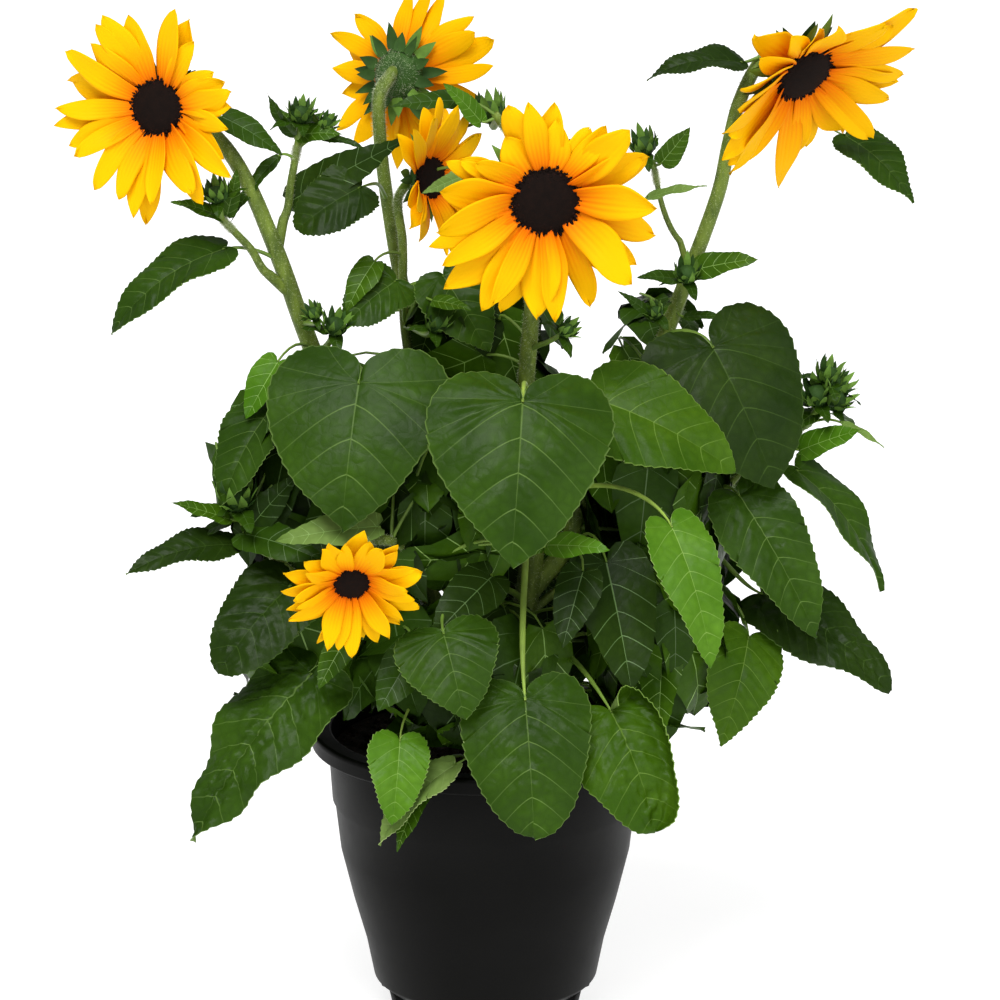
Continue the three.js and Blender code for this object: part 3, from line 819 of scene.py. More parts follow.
def leaf_surface(v, s, shape):
    """Local places on a leaf. v runs from -1 to 1 between its edges, s from 0 at the heel round
    the lobe to 1 at the tip; the result is across, along and above the blade."""
    length, half, phase = shape["length"], shape["width"] / 2, shape["phase"]
    edge = outline(shape)
    steps = np.linspace(0, 1, len(edge))
    slope = np.gradient(edge, axis=0)
    slope /= np.maximum(np.linalg.norm(slope, axis=1), 1e-9)[:, None]
    edge_x = np.interp(s, steps, edge[:, 0])
    edge_y = np.interp(s, steps, edge[:, 1])
    out_x = np.interp(s, steps, slope[:, 1])
    out_y = -np.interp(s, steps, slope[:, 0])
    tooth = shape["tooth"] * (1 - (s * shape["teeth"]) % 1) * np.clip(8 * (s - 0.08), 0, 1)
    tooth = tooth * np.clip(10 * (1 - s), 0, 1)
    sway = 0.03 * half * np.sin(9 * s + phase + 2 * np.sign(v)) * np.clip(6 * s, 0, 1)
    reach = np.abs(v)
    edge_x = np.maximum(edge_x + out_x * sway, 0)
    edge_y = edge_y + out_y * sway
    root = np.clip(edge_y - VEIN_LEAN * edge_x, 0, length)
    x = np.sign(v) * edge_x * reach
    y = root + (edge_y - root) * reach ** 1.35
    t = y / length
    between = np.interp(s, VEIN_PLACES, np.arange(len(VEIN_PLACES))) % 1
    puffed = np.sin(math.pi * between) ** 2 * np.sin(math.pi * np.clip(reach, 0, 1))
    z = shape["puff"] * puffed * np.clip(1.3 - s, 0, 1)
    z = z * np.clip(np.hypot(x, y) / (0.5 * length), 0, 1) ** 1.5
    z -= shape["groove"] * np.exp(-(x / (1.6 * MM)) ** 2) * np.clip(1.1 - t, 0, 1)
    z += 4 * shape["bow"] * t * (1 - t) * length
    fold = shape["fold"]
    z += fold * np.abs(x) if fold > 0 else 1.5 * fold * x ** 2 / half
    z += shape["wave"] * reach ** 2 * np.sin(s * shape["waves"] * 2 * math.pi + phase + np.sign(v))
    warped_x = x + 0.004 * np.sin(y * 330 + phase) + 0.002 * np.sin(y * 790 + 3 * phase)
    warped_y = y + 0.005 * np.sin(x * 270 + 2 * phase) + 0.002 * np.sin(x * 830 + phase)
    blister = np.sin(warped_x * 470 + phase) * np.sin(warped_y * 390 + 2 * phase)
    blister += 0.6 * np.sin(warped_x * 260 - warped_y * 560 + phase)
    z += shape["blister"] * blister * (1 - reach ** 3)
    z += shape["skew"] * x
    # a side margin that rolls over, towards or away from the upper side
    rolled = np.clip((np.sign(v) * shape["roll_side"] * reach - 0.55) / 0.45, 0, 1) ** 2
    x -= np.sign(v) * rolled * 0.8 * shape["roll"] * edge_x
    z += shape["roll"] * rolled * half
    # the teeth stand out of the margin alone
    x += np.sign(v) * out_x * tooth * reach ** 6
    y += out_y * tooth * reach ** 6
    # the blade droops more and more towards its tip
    droop = shape["droop"]
    if abs(droop) > 1e-3:
        bend = droop * np.clip(t, 0, 1.2)
        y_bent = np.where(t > 0, length / droop * np.sin(bend), y)
        drop = np.where(t > 0, length / droop * (1 - np.cos(bend)), 0)
        z, y = z * np.cos(bend) - drop, y_bent + z * np.sin(bend)
    return np.column_stack([x, y, z])


LEAF_DEFAULTS = {
    "tooth": 1.4 * MM, "teeth": 24, "puff": 1.3 * MM, "groove": 0.9 * MM, "wave": 1.6 * MM,
    "waves": 2.3, "phase": 0.0, "blister": 0.15 * MM, "skew": 0.0, "droop": 0.0, "blunt": 0.0,
    "roll": 0.0, "roll_side": 1,
}


def placed(local, heel, side, along, up):
    return heel + local[:, :1] * side + local[:, 1:2] * along + local[:, 2:] * up


BLADE_COLUMNS = 29
BLADE_ROWS = 97
VEIN_HALF = 0.0024
MIDRIB_HALF = 0.018
MARGIN = 0.984
BLADE_THICKNESS = 0.4 * MM

# per leaf: tone of its upper side, the limb and the part of its length that the stalk leaves,
# how much the stalk arches, and how the blade differs from a plain one
SINGLE_LEAVES = {
    "leaf_heart_left": ("dark", "stem_left", 0.45, 0.6, {"heart": 0.55, "puff": 1.0 * MM, "phase": 0.4}),
    "leaf_heart_front": ("dark", "main_stem", 0.95, 0.5, {
        "slide": 0.07, "heart": 0.4, "blister": 0.4 * MM, "puff": 2.4 * MM, "phase": 1.1}),
    "leaf_pale_right": ("mid", "stem_right", 0.25, 0.7, {"puff": 1.3 * MM, "phase": 2.0}),
    "leaf_dark_right": ("deep", "stem_right", 0.45, 0.6, {
        "blister": 0.4 * MM, "puff": 1.8 * MM, "phase": 2.8}),
    "leaf_hang_right": ("dark", "branch_bud_right", 0.55, 0.7, {"blister": 0.6 * MM, "phase": 3.1}),
    "leaf_edge_right": ("dark", "branch_bud_right", 0.75, 0.7, {"wave": 2.2 * MM, "phase": 0.8}),
    "leaf_far_right": ("deep", "branch_bud_right", 0.45, 0.7, {
        "blister": 1.1 * MM, "wave": 3 * MM, "blunt": 0.15, "phase": 1.9}),
    "leaf_bright_right": ("bright", "main_stem", 0.8, 1.0, {"widen": 0.76, "puff": 1.0 * MM, "phase": 2.6}),
    "leaf_low_right": ("mid", "stem_right", 0.1, 0.6, {"puff": 1.4 * MM, "phase": 0.2}),
    "leaf_pot_front": ("dark", "main_stem", 0.97, 0.1, {
        "blister": 0.8 * MM, "puff": 1.5 * MM, "blunt": 0.6, "heart": 0.36, "phase": 1.4}),
    "leaf_pot_right": ("mid", "main_stem", 0.35, 0.6, {
        "widen": 1.2, "blunt": 0.7, "blister": 1.1 * MM, "wave": 2.6 * MM, "roll": 0.5,
        "roll_side": -1, "phase": 2.2}),
    "leaf_pot_left": ("bright", "main_stem", 0.3, 0.6, {"phase": 3.0}),
    "leaf_folded_left": ("pale", "main_stem", 0.2, 0.6, {"phase": 0.9}),
    "leaf_far_left": ("dark", "stem_left", 0.12, 0.5, {
        "blister": 1.4 * MM, "puff": 2.4 * MM, "wave": 5 * MM, "waves": 3.3, "phase": 1.6}),
    "leaf_left_dark": ("deep", "stem_left", 0.2, 0.6, {"blister": 0.55 * MM, "blunt": 0.6, "phase": 2.4}),
    "leaf_left_point": ("deep", "branch_bud_low", 0.7, 0.3, {"wave": 1.4 * MM, "phase": 0.5}),
    "leaf_left_mid": ("dark", "stem_left", 0.5, 0.6, {"phase": 1.2}),
    "leaf_side_left": ("dark", "stem_left", 0.7, 0.4, {
        "widen": 1.1, "blunt": 0.4, "puff": 2.4 * MM, "tooth": 1.5 * MM, "phase": 2.1}),
    "leaf_round_left": ("deep", "stem_back", 0.75, 0.4, {"blunt": 0.6, "phase": 2.9}),
    "leaf_behind_front": ("dark", "stem_middle", 0.5, 0.4, {"phase": 0.7}),
    "leaf_round_middle": ("dark", "stem_middle", 0.5, 0.4, {"blunt": 0.5, "phase": 1.7}),
    "leaf_top_right": ("deep", "stem_right", 0.94, 0.3, {"widen": 1.2, "phase": 2.5}),
    "leaf_under_head": ("dark", "stem_right", 0.9, 0.3, {"widen": 1.35, "phase": 0.1}),
    "leaf_centre_low": ("dark", "main_stem", 0.5, 0.6, {"puff": 1.5 * MM, "phase": 1.3}),
}


def vein_rows(count):
    """Even steps along the edge, with three close rows on every vein."""
    rows = np.linspace(0, 1, count)
    for vein in VEIN_PLACES:
        nearest = int(np.argmin(np.abs(rows - vein)))
        rows[nearest - 1:nearest + 2] = (vein - VEIN_HALF, vein, vein + VEIN_HALF)
    return rows


def vein_columns(count):
    """Steps from edge to edge, closer at the midrib and at the margin."""
    half = np.linspace(0, 1, count // 2)[1:]
    half[0] = MIDRIB_HALF
    half = np.concatenate([half[:-1], [MARGIN, 1]])
    return np.concatenate([-half[::-1], [0], half])


def single_leaf(name):
    """A large leaf: a flat grid drawn into the blade's outline, veined, puffed and bowed."""
    blade = blades[name]
    tone, _, _, _, changes = SINGLE_LEAVES[name]
    shape = dict(
        LEAF_DEFAULTS, length=blade.length, width=blade.width, heart=blade.heart,
        bow=blade.bow, fold=blade.fold, slide=0.0, widen=1.0,
    )
    shape.update(changes)
    heel = blade.heel + blade.along * blade.length * shape["slide"]
    shape["length"] *= 1 - shape["slide"]
    shape["width"] *= shape["widen"]
    deselect()
    bpy.ops.mesh.primitive_grid_add(
        x_subdivisions=BLADE_COLUMNS - 1, y_subdivisions=BLADE_ROWS - 1, size=2,
    )
    piece = bpy.context.object
    flat = np.array([v.co[:] for v in piece.data.vertices])
    column = np.rint((flat[:, 0] + 1) / 2 * (BLADE_COLUMNS - 1)).astype(int)
    row = np.rint((flat[:, 1] + 1) / 2 * (BLADE_ROWS - 1)).astype(int)
    v = vein_columns(BLADE_COLUMNS)[column]
    s = vein_rows(BLADE_ROWS)[row]
    local = leaf_surface(v, s, shape)
    points = placed(local, heel, blade.side, blade.along, blade.up)
    piece.data.vertices.foreach_set("co", points.ravel())
    on_vein = np.isin(np.round(s, 6), np.round(VEIN_PLACES, 6))
    on_midrib = (np.abs(v) < 1e-6) & (local[:, 1] > -1 * MM)
    strength = np.where(on_vein, 0.62 * (1 - 0.75 * np.abs(v)), 0)
    strength = np.where(on_midrib, 0.9 * (1.1 - s), strength)
    strength = np.where(np.abs(v) > 0.99, 0.7, strength)
    layer = piece.data.attributes.new("vein", "FLOAT", "POINT")
    layer.data.foreach_set("value", strength.astype(np.float32))
    piece.data.materials.append(LEAF_TONES[tone])
    piece.data.materials.append(LEAF_TONES["pale"])
    bpy.ops.object.mode_set(mode="EDIT")
    bpy.ops.mesh.select_all(action="SELECT")
    bpy.ops.mesh.remove_doubles(threshold=0.02 * MM)
    bpy.ops.object.mode_set(mode="OBJECT")
    apply_modifier(piece, "SOLIDIFY", thickness=BLADE_THICKNESS, offset=-1, material_offset=1)
    bpy.ops.object.shade_smooth()
    return finished(piece, f"{name}_blade", "leaf", name)


# ---------------------------------------------------------------- stalks of the leaves
LIGHT_STALKS = ("leaf_bright_right", "leaf_pot_front", "leaf_pot_left", "leaf_heart_front")


def stalk_line(start, leave, end, arrive, samples):
    """A smooth stalk from a limb to a leaf's heel, with the ways that it leaves and arrives."""
    gap = np.linalg.norm(end - start)
    t = np.linspace(0, 1, samples)[:, None]
    first = start + leave * 0.4 * gap
    second = end - arrive * 0.32 * gap
    return (
        (1 - t) ** 3 * start + 3 * (1 - t) ** 2 * t * first
        + 3 * (1 - t) * t ** 2 * second + t ** 3 * end
    )


def single_leaf_stalks():
    batch = Batch()
    for name, (_, limb_name, part, arch, changes) in SINGLE_LEAVES.items():
        blade = blades[name]
        limb = limbs[limb_name]
        start = limb.at(part)
        heel = blade.heel + blade.along * blade.length * changes.get("slide", 0)
        away = unit(heel - start)
        leave = unit(away + arch * UP)
        arrive = unit(0.8 * blade.along + 0.5 * blade.up)
        line = stalk_line(start, leave, heel + 1 * MM * blade.along, arrive, 22)
        thick = np.clip(0.03 * blade.width, 1.1 * MM, 2 * MM)
        radii = thick * np.interp(np.arange(len(line)), [0, 16, 21], [1.2, 0.85, 0.35])
        points, faces = tube_arrays(line, radii, 10)
        batch.add(points, faces, 1 if name in LIGHT_STALKS else 0)
    return finished(batch.piece("leaf_stalks", [stalk_green, stalk_light]), "leaf_stalks", "stem")


# ---------------------------------------------------------------- foliage of the masses
class LeafPattern:
    """A flat pattern of a leaf's faces: even rows and columns, with narrow strips for the veins."""

    def __init__(self, rows, columns, veins, vein_half, midrib_half):
        strips = [vein + step for vein in veins for step in (-vein_half, vein_half)]
        rows = np.array(sorted([*rows, *strips]))
        half = np.array(columns)
        columns = np.concatenate([-half[::-1], [-midrib_half, midrib_half], half])
        self.v, self.s = (grid.ravel() for grid in np.meshgrid(columns, rows))
        self.faces = grid_faces(len(rows), len(columns))
        strip = np.arange(len(self.faces)) // (len(columns) - 1)
        column = np.arange(len(self.faces)) % (len(columns) - 1)
        middle = len(columns) // 2 - 1
        self.is_vein = (np.diff(rows) < 2.5 * vein_half)[strip]
        self.is_vein |= (column == middle) & (rows[strip] > 0.12)


SPRAY_PATTERN = LeafPattern(
    (0, 0.14, 0.28, 0.5, 0.7, 0.9, 1), (0.5, 1), (0.39, 0.6, 0.8), 0.003, 0.022,
)
SMALL_PATTERN = LeafPattern(
    (0, 0.06, 0.12, 0.19, 0.26, 0.35, 0.39, 0.49, 0.53, 0.6, 0.64, 0.71, 0.75, 0.82, 0.85, 0.9,
     0.93, 0.97, 1),
    (0.2, 0.4, 0.6, 0.8, 1), (0.16, 0.3, 0.44, 0.56, 0.68, 0.78, 0.88), 0.002, 0.02,
)


def add_leaf(batch, pattern, shape, heel, side, along, up, tone):
    """A small leaf of plain colours, its veins in a paler green."""
    points = placed(leaf_surface(pattern.v, pattern.s, shape), heel, side, along, up)
    vein = VEIN_DARK_INDEX if tone in ("deep", "dark") else VEIN_LIGHT_INDEX
    batch.add(points, pattern.faces, np.where(pattern.is_vein, vein, TONE_NAMES.index(tone)))


def add_fill_leaf(batch, chance, centre, along, up, length, tone, width=0.66, heart=0.22):
    """One leaf of a spray whose middle is at a place; it returns its heel and direction."""
    along = unit(along)
    up = across(up, along)
    side = np.cross(along, up)
    shape = dict(
        LEAF_DEFAULTS, length=length, width=width * length * chance.uniform(0.85, 1.15),
        heart=heart * chance.uniform(0.5, 1.6), bow=0.03, fold=chance.uniform(-0.15, 0.2),
        tooth=0.02 * length, teeth=8, puff=0.03 * length, groove=0.012 * length,
        wave=0.035 * length, phase=chance.uniform(0, 6.3), droop=chance.uniform(0.1, 0.9),
        skew=chance.uniform(-0.15, 0.15), blunt=chance.uniform(0, 0.4), blister=0.0,
    )
    heel = centre - 0.45 * length * along
    add_leaf(batch, SPRAY_PATTERN, shape, heel, side, along, up, tone)
    return heel, along


# leaves on each mass: how many outside and inside, their length, and the tones dealt out
MASS_LEAVES = {
    "mass_low_front": (36, 56, 58, "deep dark dark mid mid"),
    "mass_low_left": (32, 20, 62, "deep dark dark dark mid"),
    "mass_low_right": (36, 40, 54, "deep dark dark mid mid"),
    "mass_mid_left": (30, 22, 62, "deep deep dark dark mid"),
    "mass_mid_centre": (34, 64, 56, "deep deep dark dark mid"),
    "mass_mid_right": (30, 22, 62, "deep deep dark dark mid"),
    "mass_crown_middle": (15, 3, 44, "deep dark dark mid"),
    "mass_crown_right": (9, 0, 42, "dark dark mid"),
    "mass_back_left": (40, 16, 72, "deep dark dark mid mid"),
    "mass_back_centre": (36, 16, 70, "deep dark dark mid mid"),
    "mass_back_right": (40, 16, 72, "deep dark dark mid mid"),
}

limb_points = np.concatenate([limb.line for limb in limbs.values()])


def fill_stalk(batch, heel, along, reach):
    """A thin stalk from the nearest limb below to the heel of a small leaf."""
    gaps = np.linalg.norm(limb_points - heel, axis=1) + 0.8 * np.maximum(limb_points[:, 2] - heel[2], 0)
    start = limb_points[np.argmin(gaps)]
    if np.linalg.norm(start - heel) > reach:
        start = heel + unit(start - heel) * reach
    away = unit(heel - start)
    line = stalk_line(start, unit(away + 0.5 * UP), heel, unit(along + 0.4 * away), 7)
    points, faces = tube_arrays(line, np.linspace(1.1, 0.7, 7) * MM, 5)
    batch.add(points, faces, 0)


def foliage(name):
    """A mass as real leaves: an outer coat that hangs outwards, and leaves inside it in the deepest green
    as painted shade.
    """
    mass = masses[name]
    outer, inner, size, tones = MASS_LEAVES[name]
    tones = tones.split()
    chance = np.random.default_rng(sum(map(ord, name)))
    leaves, stalks = Batch(), Batch()
    spacing = 0.36 * size * MM
    for spot in mass.spread_points(outer, spacing, chance):
        outward = unit((spot - mass.middle) / mass.half ** 2)
        up = unit(outward + 0.35 * UP + chance.normal(0, 0.22, 3))
        level = unit(outward * [1, 1, 0] + 1e-6)
        hang = 0.55 * level - 0.7 * UP + 0.5 * outward + chance.normal(0, 0.35, 3)
        along = across(hang, up)
        length = size * MM * chance.uniform(0.75, 1.2)
        tone = tones[chance.integers(len(tones))]
        heel, along = add_fill_leaf(leaves, chance, spot, along, up, length, tone)
        fill_stalk(stalks, heel, along, 90 * MM)
    for _ in range(inner):
        way = unit(chance.normal(0, 1, 3))
        spot = mass.middle + 0.62 * mass.half * way * chance.uniform(0.6, 1)
        up = unit(way + 0.5 * UP)
        along = across(way - 0.4 * UP + chance.normal(0, 0.5, 3), up)
        length = size * MM * chance.uniform(0.8, 1.2)
        # the inner leaves all take the deepest green, painted shade for the inside of the mass
        add_fill_leaf(leaves, chance, spot, along, up, length, "deep")
    finished(leaves.piece(f"{name}_leaves", FOLIAGE_FINISHES), f"{name}_leaves", "foliage", name)
    finished(stalks.piece(f"{name}_stalks", [stalk_green]), f"{name}_stalks", "stem")


# small leaves that sit by themselves on the branches: heel and tip in millimetres, width,
# the way the upper side looks, tone, and the share of a heart that its outline has
SMALL_LEAVES = {
    "tuft_bud_left": (
        ((-150, -24, 492), (-179, -34, 503), 12, (-0.2, -0.6, 0.8), "mid", 0.0),
        ((-148, -20, 492), (-142, -16, 519), 10, (0.3, -0.9, 0.1), "mid", 0.0),
        ((-119, -2, 524), (-146, -12, 488), 8, (-0.4, -0.8, 0.4), "dark", 0.0),
        ((-150, -10, 548), (-116, -18, 527), 18, (0.3, -0.7, 0.6), "dark", 0.1),
    ),
    "tuft_bud_upper": (
        ((-110, 6, 534), (-125, 2, 560), 9, (-0.6, -0.8, 0.1), "dark", 0.0),
        ((-107, 6, 535), (-82, 0, 536), 14, (0.1, -0.7, 0.7), "mid", 0.1),
        ((-106, 10, 537), (-70, 4, 528), 9, (0.3, -0.6, 0.8), "dark", 0.0),
        ((-113, 0, 497), (-44, -14, 536), 23, (0.2, -0.8, 0.55), "deep", 0.0),
        ((-108, 12, 536), (-122, 26, 548), 10, (-0.5, 0.5, 0.7), "mid", 0.0),
        ((-106, 12, 536), (-92, 30, 545), 10, (0.4, 0.6, 0.7), "dark", 0.0),
    ),
    "tuft_bud_right": (
        ((186, 16, 345), (221, 2, 361), 19, (0.2, -0.7, 0.7), "bright", 0.1),
        ((211, 14, 362), (235, 4, 349), 6, (0.3, -0.5, 0.8), "pale", 0.0),
        ((196, 26, 366), (181, 20, 354), 13, (-0.4, -0.6, 0.7), "mid", 0.1),
        ((202, 30, 364), (222, 44, 352), 14, (0.4, 0.5, 0.7), "mid", 0.1),
        ((198, 34, 366), (190, 54, 356), 13, (-0.2, 0.7, 0.7), "dark", 0.1),
    ),
    "tuft_bud_low": (
        ((-146, -64, 324), (-179, -76, 337), 12, (-0.2, -0.6, 0.8), "mid", 0.0),
        ((-139, -62, 313), (-106, -62, 350), 20, (-0.3, -0.9, 0.3), "deep", 0.1),
        ((-138, -66, 316), (-88, -94, 305), 24, (0.0, -0.7, 0.7), "dark", 0.2),
        ((-140, -54, 322), (-152, -34, 340), 14, (-0.6, 0.4, 0.7), "mid", 0.1),
        ((-146, -60, 322), (-166, -58, 312), 12, (-0.5, -0.4, 0.8), "dark", 0.0),
    ),
    "crown_leaves": (
        ((-6, -10, 516), (-36, -24, 506), 10, (-0.1, -0.9, 0.4), "pale", 0.0),
        ((-14, 20, 553), (-55, 8, 551), 13, (0.0, -0.7, 0.7), "dark", 0.0),
        ((-2, 16, 541), (-24, 6, 565), 13, (0.4, -0.8, 0.4), "bright", 0.1),
        ((102, -2, 520), (118, -4, 541), 15, (0.5, -0.8, 0.3), "mid", 0.1),
        ((94, -4, 500), (128, -12, 508), 8, (0.1, -0.5, 0.85), "pale", 0.0),
        ((120, -2, 457), (158, -14, 466), 18, (0.2, -0.7, 0.7), "mid", 0.1),
        ((113, -2, 452), (88, -14, 455), 10, (-0.2, -0.7, 0.7), "dark", 0.0),
        ((100, -5, 428), (77, -14, 447), 7, (-0.3, -0.7, 0.6), "dark", 0.0),
        ((116, 0, 429), (139, -8, 431), 8, (0.2, -0.6, 0.8), "dark", 0.0),
        ((-119, -40, 411), (-137, -52, 380), 24, (-0.5, -0.8, 0.4), "bright", 0.2),
        ((-64, -6, 463), (-80, -20, 436), 18, (-0.2, -0.8, 0.6), "mid", 0.1),
        ((-30, -26, 444), (-8, -34, 440), 12, (0.2, -0.6, 0.8), "mid", 0.0),
    ),
    "front_leaves": (
        ((35, -113, 322), (70, -127, 323), 17, (0.1, -0.7, 0.7), "bright", 0.0),
        ((33, -110, 321), (-6, -116, 331), 14, (-0.1, -0.8, 0.6), "mid", 0.0),
        ((-60, -98, 329), (-118, -106, 322), 22, (0.0, -0.7, 0.75), "pale", 0.1),
        ((70, -70, 300), (84, -102, 232), 50, (0.3, -0.9, 0.3), "deep", 0.3),
        ((104, -52, 246), (101, -76, 194), 24, (-0.3, -0.9, 0.3), "mid", 0.1),
        ((-42, -104, 254), (-60, -120, 226), 26, (-0.1, -0.9, 0.4), "dark", 0.2),
        ((-78, -98, 264), (-94, -116, 238), 18, (-0.2, -0.9, 0.4), "mid", 0.1),
        ((-34, -112, 178), (-50, -126, 144), 14, (-0.5, -0.8, 0.2), "mid", 0.0),
        ((56, -90, 300), (44, -116, 262), 26, (-0.1, -0.9, 0.4), "deep", 0.2),
        ((4, -86, 296), (-30, -116, 268), 30, (-0.2, -0.9, 0.4), "deep", 0.2),
        ((14, 30, 292), (14, 22, 242), 34, (0.0, -1.0, 0.2), "deep", 0.2),
        ((36, 30, 270), (38, 22, 218), 34, (0.0, -1.0, 0.2), "deep", 0.2),
        ((58, 30, 252), (62, 22, 202), 34, (0.0, -1.0, 0.2), "deep", 0.2),
    ),
}
TUFT_MASSES = {
    "tuft_bud_left": "mass_bud_left", "tuft_bud_upper": "mass_bud_upper",
    "tuft_bud_right": "mass_bud_right", "tuft_bud_low": "mass_bud_low",
}


def small_leaves(name):
    """The separate small leaves of one tuft or one part of the crown."""
    chance = np.random.default_rng(sum(map(ord, name)))
    leaves, stalks = Batch(), Batch()
    for heel, tip, width, face, tone, heart in SMALL_LEAVES[name]:
        heel, tip = np.array(heel) * MM, np.array(tip) * MM
        length = np.linalg.norm(tip - heel)
        along = (tip - heel) / length
        up = across(np.array(face), along)
        shape = dict(
            LEAF_DEFAULTS, length=length, width=width * MM, heart=heart, bow=chance.uniform(0.02, 0.08),
            fold=chance.uniform(0.02, 0.18), tooth=0.016 * length, teeth=12, puff=0.02 * length,
            groove=0.01 * length, wave=0.02 * length, phase=chance.uniform(0, 6.3), blister=0.0,
        )
        add_leaf(leaves, SMALL_PATTERN, shape, heel, np.cross(along, up), along, up, tone)
        fill_stalk(stalks, heel, along, 60 * MM)
    replaced = [TUFT_MASSES[name]] if name in TUFT_MASSES else []
    finished(leaves.piece(name, FOLIAGE_FINISHES), name, "foliage", *replaced)
    finished(stalks.piece(f"{name}_stalks", [stalk_green]), f"{name}_stalks", "stem")


# ---------------------------------------------------------------- flower heads
PETAL_COLUMNS = np.linspace(-1, 1, 13)
PETAL_ROWS = np.linspace(0, 1, 17)
PETAL_A, PETAL_T = np.meshgrid(PETAL_COLUMNS, PETAL_ROWS)
PETAL_A, PETAL_T = PETAL_A.ravel(), PETAL_T.ravel()
PETAL_FACES = grid_faces(len(PETAL_ROWS), len(PETAL_COLUMNS))
PETAL_THICKNESS = 0.25 * MM
# darker veins run out along every other column of a petal
PETAL_STREAKS = np.tile(np.where(np.arange(len(PETAL_COLUMNS)) % 2 == 0, 0.06, -0.06), len(PETAL_ROWS))
PETAL_STREAKS *= np.sin(math.pi * np.clip(PETAL_T + 0.1, 0, 1))

# petals in each of two layers, how steeply they leave the disc and curl back (degrees), how
# far their own weight pulls the tips down, where petals run longer or shorter (degrees round
# the head from its top, share added), and where one is missing
HEAD_LOOKS = {
    "head_left": (14, 26, 27, 0.03, ((95, 0.07), (312, -0.25), (272, -0.1), (180, 0.04)), (3,)),
    "head_back": (12, 30, 36, 0.0, ((270, -0.14), (90, 0.12), (50, 0.1), (0, 0.04)), (330, 120)),
    "head_middle": (12, 36, 36, 0.03, ((20, 0.14), (110, -0.25)), (75,)),
    "head_front": (15, 20, 24, 0.04, (
        (0, -0.06), (45, -0.22), (90, -0.03), (130, 0.1), (180, 0.05), (328, -0.18)), ()),
    "head_right": (14, 28, 30, 0.05, ((20, -0.22), (55, -0.12), (180, 0.06), (285, 0.1)), (345,)),
    "head_low": (16, 34, 30, 0.0, ((0, -0.04), (180, 0.16), (90, -0.02), (270, -0.02)), ()),
}


def petal_half_width(t, point):
    """Half width along a petal, as a part of its widest: a claw, a broad middle, a tip."""
    widest = 0.54
    claw = 0.5 + 0.5 * np.sin(math.pi / 2 * np.clip(t / widest, 0, 1)) ** 0.9
    tip = np.cos(math.pi / 2 * np.clip((t - widest) / (1 - widest), 0, 1)) ** point
    return np.where(t < widest, claw, tip)


def petal_points(length, half, rise, curl, chance):
    """A petal lying outwards from the disc: outward, sideways and forward distances."""
    t, a = PETAL_T, PETAL_A
    angle = np.radians(rise) - np.radians(curl) * PETAL_ROWS ** 1.2
    steps = length / (len(PETAL_ROWS) - 1)
    outward = np.concatenate([[0], np.cumsum(np.cos(angle[1:]) * steps)])
    forward = np.concatenate([[0], np.cumsum(np.sin(angle[1:]) * steps)])
    row = np.repeat(np.arange(len(PETAL_ROWS)), len(PETAL_COLUMNS))
    width = half * petal_half_width(t, chance.uniform(0.5, 0.95))
    sideways = a * width
    channel = chance.uniform(-0.12, 0.3) * half * a ** 2 * (1 - 0.5 * t)
    pleats = 0.05 * half * np.cos(5 * math.pi * a) * (1 - 0.6 * t)
    wave = chance.uniform(0.04, 0.24) * half * np.sin(2.6 * math.pi * t + chance.uniform(0, 6)) * a * t
    sway = chance.normal(0, 0.1) * length * t ** 2
    lean = chance.normal(0, 0.24) * a * width
    height = channel + pleats + wave + lean
    sideways *= 1 + 0.07 * np.sin(chance.uniform(5, 11) * t + chance.uniform(0, 6)) * np.sign(a)
    notch = chance.choice([0.0, 0.0, 0.06]) * length * t ** 6
    notch = notch * np.exp(-((a - chance.normal(0, 0.3)) / 0.3) ** 2)
    out = outward[row] - np.sin(angle[row]) * height - notch
    up = forward[row] + np.cos(angle[row]) * height
    return out, sideways + sway, up


def turn_gap(first, second):
    """The angle between two directions round a head, in degrees."""
    return abs((first - second + 180) % 360 - 180)


# the low head looks a little more to the front than its solid
heads["head_low"].facing = unit(heads["head_low"].facing + 0.3 * FRONT)


def head_petals(name):
    head = heads[name]
    per_layer, rise, curl, weight, swells, missing = HEAD_LOOKS[name]
    chance = np.random.default_rng(sum(map(ord, name)) + 7)
    batch = Batch()
    side = across(UP, head.facing)
    other = np.cross(head.facing, side)
    pitch = 360 / per_layer
    for layer in range(2):
        for k in range(per_layer):
            degrees = pitch * (k + 0.5 * layer + chance.uniform(-0.24, 0.24))
            turn = math.radians(degrees)
            ray = math.cos(turn) * side + math.sin(turn) * other
            edge = np.cross(head.facing, ray)
            root = 0.86 * head.disc
            swell = 1 + sum(g * math.exp(-((turn_gap(degrees, at) / 26) ** 2)) for at, g in swells)
            reach = head.reach * swell * chance.uniform(0.86, 1.06) * (1.0 - 0.05 * layer)
            length = (reach - root) * 1.08
            half = 0.138 * head.reach * chance.uniform(0.72, 1.2)
            out, sideways, up = petal_points(
                length, half, rise + chance.normal(0, 7), curl + chance.normal(0, 9), chance,
            )
            if any(turn_gap(degrees, gap) < 0.42 * pitch for gap in missing):
                continue
            start = head.middle + ray * root + head.facing * (0.6 - 1.6 * (1 - layer)) * MM
            points = start + out[:, None] * ray + sideways[:, None] * edge + up[:, None] * head.facing
            points[:, 2] -= weight * length * PETAL_T ** 2
            batch.add(points, PETAL_FACES, 0, PETAL_T * chance.uniform(0.85, 1.25) + PETAL_STREAKS)
    piece = batch.piece(f"{name}_petals", [petal_gold], "tip")
    apply_modifier(piece, "SOLIDIFY", thickness=PETAL_THICKNESS, offset=0)
    return finished(piece, f"{name}_petals", "flower", name)


